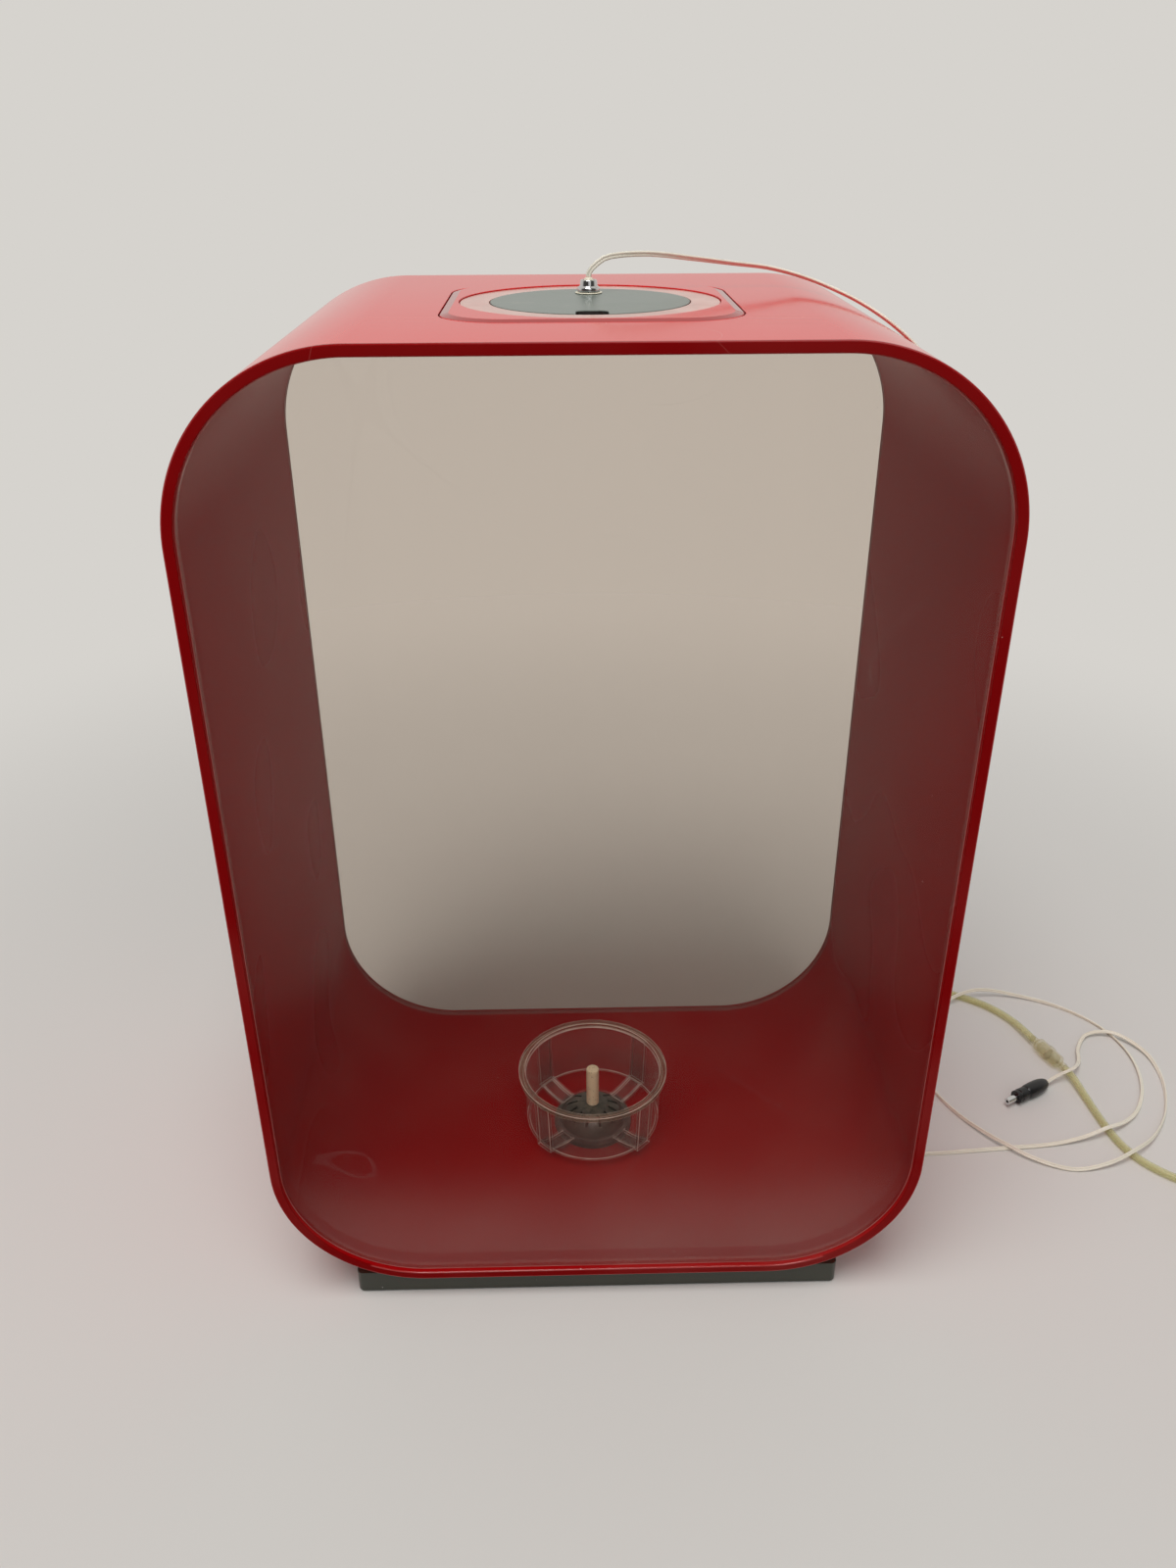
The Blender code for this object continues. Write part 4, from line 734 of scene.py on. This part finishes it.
# Light: a white can screwed up under the cover by four lugs, with a gasket, a clear lens, a yellow
# emitter on a white board and an aluminium heat sink stacked in it.
white_housing = plain_plastic("light_housing", (206, 206, 202), (222, 221, 216), 0.42)
for name in ("light_can", "led_board"):
    coat(nodes[name], white_housing)
coat(nodes["lens_gasket"], rubber)


def brushed_metal(name, tone, pale, roughness, along):
    """Bare or plated metal, with fine lines along one direction."""
    material, place = new_finish(name)
    lines = cloudy(place.node("Mapping", {}, {"Vector": place, "Scale": along}), 1.0, 2)
    marks = cloudy(place, 180, 3)
    return opaque(material, place, {
        "Base Color": blend_colours(marks, solid(*tone), solid(*pale)), "Metallic": 1.0,
        "Roughness": lines * 0.12 + (roughness - 0.06), "Normal": bumps(lines, 0.05, 0.0002)})


def phosphor():
    material, place = new_finish("led")
    dots = cell_pattern(place, 260, randomness=0.0)
    return opaque(material, place, {
        "Base Color": blend_colours(dots < 0.3, solid(226, 196, 70), solid(240, 226, 130)),
        "Roughness": dots * 0.2 + 0.3})


coat(nodes["heat_sink"], brushed_metal("light_metal", (168, 170, 172), (190, 191, 192), 0.34, (40, 900, 900)))
coat(nodes["led_emitter"], phosphor())
coat(nodes["light_lens"], clear_moulding("light_lens", solid(244, 244, 242), solid(214, 214, 210), 0.12))
steel = brushed_metal("steel", (150, 151, 152), (176, 176, 176), 0.3, (900, 900, 900))
for name in ("light_screw_1", "light_screw_2", "light_screw_3", "light_screw_4"):
    coat(nodes[name], steel)


# Cable gland: a chromed cone with a stem through the cover, on a pale washer and with a nut inside the
# can. The cream bush that grips the lead stands a little out of its top.
GLAND_FOOT, GLAND_TOP, STEM_FOOT, BORE_STEP = 0.6267, 0.6329, 0.6192, 0.6284
BUSH_FOOT, BUSH_TOP, WASHER_FOOT, WASHER_TOP = 0.6287, 0.6343, 0.6259, 0.6264
GLAND_SIDES, BUSH_SIDES, GLAND_EDGE, WASHER_EDGE = 64, 48, 0.0002, 0.0001
gland_place = (0, GLAND_BACK, 0)
gland = turned("chrome_gland", [
    (0.0033, GLAND_TOP), (0.0044, GLAND_TOP), (0.0048, GLAND_TOP - 0.0005), (0.0051, GLAND_FOOT + 0.0030),
    (0.0062, GLAND_FOOT + 0.0022), (0.0065, GLAND_FOOT + 0.0016), (0.0065, GLAND_FOOT), (0.0035, GLAND_FOOT),
    (0.0035, STEM_FOOT), (0.0014, STEM_FOOT), (0.0014, BORE_STEP), (0.0033, BORE_STEP)],
    GLAND_SIDES, gland_place)
broken_edges(gland, GLAND_EDGE)
chrome = brushed_metal("chrome", (206, 207, 208), (222, 222, 222), 0.10, (300, 300, 300))
fit(gland, "lid", "chrome", chrome, "cable_gland")
coat(nodes["gland_nut"], chrome)
bush = turned("cream_bush", [
    (0, BUSH_TOP), (0.0012, BUSH_TOP), (0.0021, BUSH_TOP - 0.0004), (0.0028, GLAND_TOP - 0.0001),
    (0.0030, GLAND_TOP - 0.0008), (0.0030, BUSH_FOOT), (0, BUSH_FOOT)], BUSH_SIDES, gland_place)
broken_edges(bush, GLAND_EDGE)
cream = plain_plastic("cream_plastic", (214, 205, 180), (228, 221, 200), 0.42, relief=0.05)
fit(bush, "lid", "cream_plastic", cream, "gland_bush")
washer = turned("pale_washer", [
    (STEM_HOLE, WASHER_TOP), (0.0074, WASHER_TOP), (0.0078, (WASHER_FOOT + WASHER_TOP) / 2),
    (0.0078, WASHER_FOOT), (STEM_HOLE, WASHER_FOOT)], GLAND_SIDES, gland_place)
broken_edges(washer, WASHER_EDGE, 1)
fit(washer, "lid", "cream_plastic", cream, "gland_washer")


# Light lead: a limp twin lead, two cream strands moulded side by side, from the bush over the tank's
# right corner and down to loose loops on the floor. A moulded black plug with a metal sleeve ends it.
LEAD_WIDTH, LEAD_SPACING = 0.0028, 0.004
STRAND_OFFSET, STRAND_RADIUS, STRAND_POINTS, STRAND_STEP = 0.000816, 0.000784, 11, 28
TWISTS = ((0.9, 23), (0.6, 61))
CORD_MERGE, CORD_SMOOTH = 0.000005, 50
LEAD_ROUTE = [
    (0.0000, 0.0330, 0.6346), (0.0002, 0.0330, 0.6366), (0.0022, 0.0336, 0.6391), (0.0053, 0.0347, 0.6416),
    (0.0087, 0.0359, 0.6437), (0.0130, 0.0373, 0.6448), (0.0185, 0.0391, 0.6453), (0.0255, 0.0414, 0.6455),
    (0.0345, 0.0445, 0.6453), (0.0451, 0.0480, 0.6443), (0.0567, 0.0520, 0.6426), (0.0703, 0.0562, 0.6407),
    (0.0841, 0.0600, 0.6387), (0.0970, 0.0628, 0.6371), (0.1068, 0.0632, 0.6358), (0.1198, 0.0595, 0.6331),
    (0.1316, 0.0500, 0.6300), (0.1426, 0.0370, 0.6262), (0.1534, 0.0250, 0.6216), (0.1625, 0.0170, 0.6166),
    (0.1735, 0.0105, 0.6092), (0.1865, 0.0055, 0.5978), (0.2030, 0.0000, 0.5742), (0.2120, -0.0040, 0.5486),
    (0.2137, -0.0070, 0.5200), (0.2137, -0.0120, 0.4300), (0.2137, -0.0160, 0.3300),
    (0.2138, -0.0185, 0.2300), (0.2140, -0.0195, 0.1400), (0.2156, -0.0192, 0.0800),
    (0.2200, -0.0190, 0.0420), (0.2290, -0.0188, 0.0160), (0.2440, -0.0184, 0.0038),
    (0.2650, -0.0175, 0.0018), (0.2950, -0.0155, 0.0018), (0.3280, -0.0130, 0.0018),
    (0.3600, -0.0105, 0.0020), (0.3860, -0.0070, 0.0052), (0.4080, -0.0005, 0.0088),
    (0.4260, 0.0090, 0.0052), (0.4440, 0.0260, 0.0019), (0.4600, 0.0560, 0.0018), (0.4650, 0.0930, 0.0018),
    (0.4550, 0.1280, 0.0018), (0.4300, 0.1570, 0.0018), (0.3960, 0.1740, 0.0034), (0.3560, 0.1765, 0.0092),
    (0.3220, 0.1620, 0.0060), (0.2960, 0.1360, 0.0020), (0.2810, 0.1000, 0.0018), (0.2830, 0.0600, 0.0018),
    (0.2960, 0.0260, 0.0022), (0.3150, -0.0040, 0.0050), (0.3240, -0.0135, 0.0056),
    (0.3400, -0.0265, 0.0042), (0.3680, -0.0370, 0.0020), (0.3950, -0.0350, 0.0052),
    (0.4200, -0.0250, 0.0089), (0.4430, -0.0070, 0.0052), (0.4660, 0.0240, 0.0019), (0.4800, 0.0640, 0.0018),
    (0.4780, 0.0960, 0.0034), (0.4580, 0.1180, 0.0058), (0.4370, 0.1180, 0.0040), (0.4230, 0.1010, 0.0034),
    (0.4150, 0.0800, 0.0067), (0.4040, 0.0655, 0.0118), (0.3900, 0.0610, 0.0085), (0.3793, 0.0552, 0.0067)]
PLUG_PLACE, PLUG_HEADING, PLUG_SIDES, PLUG_EDGE = (0.379, 0.055, 0.0067), 208.7, 48, 0.0002


def laid_route(points, spacing):
    """A smooth line through a route's points, with more points where those are far apart."""
    knots = [Vector(p) for p in points]
    knots = [2 * knots[0] - knots[1], *knots, 2 * knots[-1] - knots[-2]]
    route = []
    for before, start, end, after in zip(knots, knots[1:], knots[2:], knots[3:]):
        first = math.sqrt((start - before).length)
        second = first + math.sqrt((end - start).length)
        third = second + math.sqrt((after - end).length)
        steps = max(1, round((end - start).length / spacing))
        for i in range(steps):
            t = first + (second - first) * i / steps
            early = before.lerp(start, t / first)
            middle = start.lerp(end, (t - first) / (second - first))
            late = end.lerp(after, (t - second) / (third - second))
            lead_in = early.lerp(middle, t / second)
            lead_out = middle.lerp(late, (t - first) / (third - first))
            route.append(lead_in.lerp(lead_out, (t - first) / (second - first)))
    route.append(knots[-2])
    return route


def route_length(route):
    return sum((b - a).length for a, b in zip(route, route[1:]))


def added(name, data):
    piece = bpy.data.objects.new(name, data)
    bpy.context.scene.collection.objects.link(piece)
    return piece


def drawn_curve(name, points, closed=False):
    curve = bpy.data.curves.new(name, "CURVE")
    curve.dimensions = "3D"
    spline = curve.splines.new("POLY")
    spline.points.add(len(points) - 1)
    spline.use_cyclic_u = closed
    for point, place in zip(spline.points, points):
        point.co = (*place, 1)
    return added(name, curve)


def as_mesh(piece):
    """Makes a drawn cord a mesh, with its doubles merged and its sides shaded smooth."""
    take_up(piece)
    bpy.ops.object.convert(target="MESH")
    piece = bpy.context.object
    bpy.ops.object.mode_set(mode="EDIT")
    bpy.ops.mesh.select_all(action="SELECT")
    bpy.ops.mesh.remove_doubles(threshold=CORD_MERGE)
    bpy.ops.mesh.normals_make_consistent(inside=False)
    bpy.ops.object.mode_set(mode="OBJECT")
    bpy.ops.object.shade_smooth_by_angle(angle=math.radians(CORD_SMOOTH))
    return piece


lead_path = laid_route(LEAD_ROUTE, LEAD_SPACING)
twin = []
for offset, first in ((STRAND_OFFSET, -140), (-STRAND_OFFSET, 40)):
    for i in range(STRAND_POINTS):
        angle = math.radians(first + STRAND_STEP * i)
        twin.append((offset + STRAND_RADIUS * math.cos(angle), STRAND_RADIUS * math.sin(angle), 0))
twin_section = drawn_curve("twin_section", twin, closed=True)
lead = drawn_curve("twin_lead", lead_path)
for i, point in enumerate(lead.data.splines[0].points):
    point.tilt = math.pi / 2 + sum(swing * math.sin(i / pace) for swing, pace in TWISTS)
lead.data.bevel_mode = "OBJECT"
lead.data.bevel_object = twin_section
lead.data.use_fill_caps = True
lead = as_mesh(lead)
bpy.data.objects.remove(twin_section)
plug_turn = (0, math.pi / 2, math.radians(PLUG_HEADING))
plug = turned("black_plug", [
    (0, 0.036), (0.0052, 0.036), (0.0055, 0.0357), (0.0055, 0.0336), (0.0049, 0.0332), (0.0049, 0.0322),
    (0.0055, 0.0318), (0.0055, 0.0262), (0.0050, 0.0254), (0.0050, 0.0246), (0.0057, 0.0238),
    (0.0060, 0.0215), (0.0062, 0.0170), (0.0061, 0.0120), (0.0056, 0.0075), (0.0047, 0.0040),
    (0.0034, 0.0015), (0.0020, 0.0003), (0.0014, 0.0), (0, 0)], PLUG_SIDES, PLUG_PLACE, plug_turn)
broken_edges(plug, PLUG_EDGE)
glossy_black = plain_plastic("glossy_black", (16, 16, 17), (26, 26, 27), 0.30, relief=0.04, dust=0.08)
fit(plug, "tank", "black_plastic", glossy_black, "lead_plug")
coat(nodes["plug_sleeve"], chrome)
lead_finish = plain_plastic("lead_cream", (222, 214, 194), (236, 231, 216), 0.34, relief=0.04)
coat(lead, lead_finish)
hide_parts("light_lead")
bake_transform(lead)
round(route_length(lead_path), 3)


# Air hose: clear soft hose, gone yellow, from the elbow under the tank out through the plinth's slot,
# round behind the tank to the valve, and on to a tied coil of what is left of it.
HOSE_RADIUS, HOSE_WALL, HOSE_SPACING, HOSE_ROUND, GAP = 0.003, 0.0010, 0.005, 5, 0.0003
VALVE_PLACE, VALVE_HEADING, VALVE_REACH = (0.393, 0.091, 0.0068), -69.8, 0.020
HOSE_ROUTE = [
    (0.0000, 0.0163, 0.0063), (0.0000, 0.0320, 0.0062), (0.0000, 0.0520, 0.0052), (0.0005, 0.0800, 0.0036),
    (0.0015, 0.1060, 0.0032), (0.0030, 0.1300, 0.0032), (0.0067, 0.1440, 0.0032), (0.0170, 0.1542, 0.0032),
    (0.0310, 0.1580, 0.0032), (0.0700, 0.1590, 0.0032), (0.1100, 0.1600, 0.0032), (0.1500, 0.1640, 0.0032),
    (0.1900, 0.1715, 0.0032), (0.2300, 0.1800, 0.0032), (0.2700, 0.1870, 0.0032), (0.3020, 0.1875, 0.0032),
    (0.3300, 0.1810, 0.0032), (0.3600, 0.1620, 0.0032), (0.3760, 0.1410, 0.0042), (0.3830, 0.1210, 0.0062)]
TAIL_ROUTE = [
    (0.4030, 0.0620, 0.0064), (0.4060, 0.0440, 0.0040), (0.4080, 0.0250, 0.0032), (0.4105, 0.0040, 0.0032),
    (0.4150, -0.0150, 0.0032), (0.4240, -0.0320, 0.0032), (0.4400, -0.0480, 0.0034),
    (0.4600, -0.0600, 0.0042)]
COIL_CENTRE, COIL_START, COIL_RADIUS, COIL_PITCH, COIL_LIFT = (0.474, -0.108), 64, 0.0385, 0.0066, 0.0042
COIL_TURNS, COIL_LAYERS, COIL_STEPS = 2, 2, 24


def hose(name, path):
    """A thin-walled hose along a line, with its bore open at both ends."""
    piece = drawn_curve(name, path)
    piece.data.bevel_depth = HOSE_RADIUS
    piece.data.bevel_resolution = HOSE_ROUND
    piece = as_mesh(piece)
    use_modifier(piece, "SOLIDIFY", thickness=HOSE_WALL, offset=-1.0)
    return piece


def yellowed_hose():
    material, place = new_finish("clear_hose")
    film = cloudy(place, 40, 3)
    share = facing(place, 0.35) * 0.40 + film * 0.1 + 0.12
    return see_through(material, share, solid(248, 247, 230), {
        "Base Color": blend_colours(film, solid(220, 217, 180), solid(235, 233, 206)),
        "Roughness": film * 0.12 + 0.16})


valve_along = Vector((math.cos(math.radians(VALVE_HEADING)), math.sin(math.radians(VALVE_HEADING)), 0))
valve_in = Vector(VALVE_PLACE) - valve_along * (VALVE_REACH + GAP)
valve_out = Vector(VALVE_PLACE) + valve_along * (VALVE_REACH + GAP)
coil_first = math.radians(COIL_START)
coil_side = Vector((math.cos(coil_first), math.sin(coil_first), 0))
coil_along = Vector((math.sin(coil_first), -math.cos(coil_first), 0))
coil_mouth = Vector((*COIL_CENTRE, COIL_LIFT)) + COIL_RADIUS * coil_side - 2 * HOSE_RADIUS * coil_along
coil_path = []
for i in range(COIL_LAYERS * COIL_TURNS * COIL_STEPS + 1):
    turns = i / COIL_STEPS
    layer, along = divmod(turns, COIL_TURNS)
    inward = along if layer % 2 == 0 else COIL_TURNS - along
    # Each layer climbs to the next one over half a turn.
    climbed = sum(min(1.0, max(0.0, 2 * (turns - COIL_TURNS * k) + 0.5)) for k in range(1, COIL_LAYERS))
    angle = coil_first - 2 * math.pi * turns
    radius = COIL_RADIUS - COIL_PITCH * inward
    coil_path.append(Vector((
        COIL_CENTRE[0] + radius * math.cos(angle), COIL_CENTRE[1] + radius * math.sin(angle),
        COIL_LIFT + COIL_PITCH * climbed)))
coil_path.append(coil_path[-1] + 2 * HOSE_RADIUS * (coil_path[-1] - coil_path[-2]).normalized())
hose_path = laid_route([*HOSE_ROUTE, tuple(valve_in)], HOSE_SPACING)
tail_path = laid_route(
    [tuple(valve_out), *TAIL_ROUTE, tuple(coil_mouth - 2 * HOSE_RADIUS * coil_along), tuple(coil_mouth)],
    HOSE_SPACING)
tail_path += coil_path
hose_finish = yellowed_hose()
line = fit(hose("air_hose", hose_path), "tank", "clear_hose", hose_finish, "air_line")
tail = fit(hose("air_hose_tail", tail_path), "tank", "clear_hose", hose_finish, "air_line_tail", "air_coil")


# Check valve: a clear moulded body in two halves with a pale disc inside it, and a spigot at each end
# that the hose is pushed up against.
VALVE_SIDES, VALVE_EDGE = 48, 0.0002
valve_turn = (0, math.pi / 2, math.radians(VALVE_HEADING))
valve = turned("clear_valve", [
    (0.0015, 0.020), (0.0029, 0.020), (0.0032, 0.0195), (0.0032, 0.0130), (0.0052, 0.0130), (0.0058, 0.0122),
    (0.0058, 0.0030), (0.0065, 0.0024), (0.0065, 0.0004), (0.0062, 0.0002), (0.0062, -0.0002),
    (0.0065, -0.0004), (0.0065, -0.0024), (0.0058, -0.0030), (0.0058, -0.0122), (0.0052, -0.0130),
    (0.0032, -0.0130), (0.0032, -0.0195), (0.0029, -0.020), (0.0015, -0.020), (0.0015, -0.010),
    (0.0046, -0.010), (0.0046, 0.010), (0.0015, 0.010)], VALVE_SIDES, VALVE_PLACE, valve_turn)
broken_edges(valve, VALVE_EDGE)
valve_finish = clear_moulding("clear_valve", solid(248, 246, 236), solid(222, 218, 198), 0.10)
fit(valve, "tank", "clear_valve", valve_finish, "check_valve")
coat(nodes["valve_disc"], pale_plastic)


# Coil tie: a strip of black hook-and-loop strap, wrapped once round all the turns of the coil and closed
# on itself, which keeps the coil flat.
TIE_ANGLE, TIE_WIDTH, TIE_THICKNESS, TIE_STEPS, TIE_EDGE = 230, 0.008, 0.0008, 6, 0.0002
TIE_PLAY = 0.0006
tie_inner = COIL_RADIUS - COIL_PITCH * COIL_TURNS - HOSE_RADIUS - TIE_PLAY
tie_outer = COIL_RADIUS + HOSE_RADIUS + TIE_PLAY
tie_low = COIL_LIFT - HOSE_RADIUS - GAP
tie_high = COIL_LIFT + COIL_PITCH * (COIL_LAYERS - 1) + HOSE_RADIUS + GAP
tie_heading = math.radians(TIE_ANGLE)
tie_middle = (tie_inner + tie_outer) / 2
tie = rounded_frame(
    "coil_strap", tie_outer - tie_inner + 2 * TIE_THICKNESS, tie_high - tie_low + 2 * TIE_THICKNESS,
    2 * TIE_THICKNESS, TIE_THICKNESS, TIE_WIDTH, TIE_STEPS)
across = Vector((-math.sin(tie_heading), math.cos(tie_heading), 0))
tie_place = Vector((
    COIL_CENTRE[0] + tie_middle * math.cos(tie_heading), COIL_CENTRE[1] + tie_middle * math.sin(tie_heading),
    (tie_low + tie_high) / 2)) + across * TIE_WIDTH / 2
put(tie, tie_place, (math.pi / 2, 0, tie_heading))
broken_edges(tie, TIE_EDGE, 1)


def looped_strap():
    material, place = new_finish("strap")
    pile = cell_pattern(place, 2200)
    return opaque(material, place, {
        "Base Color": blend_colours(pile, solid(20, 20, 22), solid(44, 43, 44)),
        "Roughness": pile * 0.2 + 0.7, "Normal": bumps(pile, 0.6, 0.0004)})


fit(tie, "tank", "strap", looped_strap(), "coil_tie")
round(route_length(hose_path), 3)
round(route_length(tail_path), 3)


# Studio: a pale floor that runs out into a pale background, one broad lamp overhead and a weaker one in
# front, and the camera where the photograph was taken from.
BACKGROUND, DARK_SURROUND = solid(214, 211, 206), solid(70, 68, 66)
FLOOR_SIZE, FLOOR_FADE, SKY_FADE, AMBIENT = 30, (0.45, 1.3), (-0.45, 0.10), 0.36
LAMPS = (
    ("overhead", (-0.45, -1.33, 4.0), (0, 0.05, 0.3), 2.5, 104),
    ("front", (0.5, -2.2, 1.5), (0, 0, 0.3), 1.6, 4))
CAMERA_PLACE, LENS, FILM_HEIGHT = (-0.01675, -0.7265, 0.7121), 28.40, 36
YAW, PITCH, ROLL = math.radians(1.13), math.radians(28.14), math.radians(-0.28)
clear_bench()
bpy.ops.mesh.primitive_plane_add(size=FLOOR_SIZE)
floor = fresh("floor")
material, place = new_finish("pale_floor")
away = place.node("VectorMath", {"operation": "LENGTH"}, {0: place}, "Value")
lit = place.node("BsdfDiffuse", {}, {"Color": BACKGROUND})
far = place.node("Emission", {}, {"Color": BACKGROUND, "Strength": 1.0})
finished(material, place.node("MixShader", {}, {0: ramp(away, *FLOOR_FADE), 1: lit, 2: far}))
coat(floor, material)

world = bpy.data.worlds.new("studio")
bpy.context.scene.world = world
world.use_nodes = True
world.node_tree.nodes.clear()
sky = Tone(world.node_tree)
straight, mirrored, let_through = [
    sky.node("LightPath", output=f"Is {kind} Ray") for kind in ("Camera", "Glossy", "Transmission")]
seen = sky.maths("MAXIMUM", straight, sky.maths("MAXIMUM", mirrored, let_through))
behind = ramp(axis_of(sky.node("TexCoord", output="Generated"), "Y"), *SKY_FADE)
backdrop = blend_colours(sky.maths("MAXIMUM", straight, behind), DARK_SURROUND, BACKGROUND)
shown = sky.node("Background", {}, {"Color": backdrop, "Strength": 1.0})
ambient = sky.node("Background", {}, {"Color": solid(250, 250, 250), "Strength": AMBIENT})
sky.node("OutputWorld", {}, {"Surface": sky.node("MixShader", {}, {0: seen, 1: ambient, 2: shown})})

for name, spot, aim, size, power in LAMPS:
    lamp_data = bpy.data.lights.new(name, "AREA")
    lamp_data.shape, lamp_data.size, lamp_data.energy = "DISK", size, power
    lamp = added(name, lamp_data)
    lamp.location = spot
    lamp.rotation_euler = (Vector(aim) - Vector(spot)).to_track_quat("-Z", "Y").to_euler()

camera_data = bpy.data.cameras.new("camera")
camera_data.sensor_fit, camera_data.sensor_height, camera_data.lens = "VERTICAL", FILM_HEIGHT, LENS
camera = added("camera", camera_data)
camera.location = CAMERA_PLACE
swing = Matrix.Rotation(-YAW, 3, "Z") @ Matrix.Rotation(math.pi / 2 - PITCH, 3, "X")
camera.rotation_euler = (swing @ Matrix.Rotation(ROLL, 3, "Z")).to_euler()
bpy.context.scene.camera = camera
bpy.context.scene.view_settings.view_transform = "Standard"

bpy.context.view_layer.update()
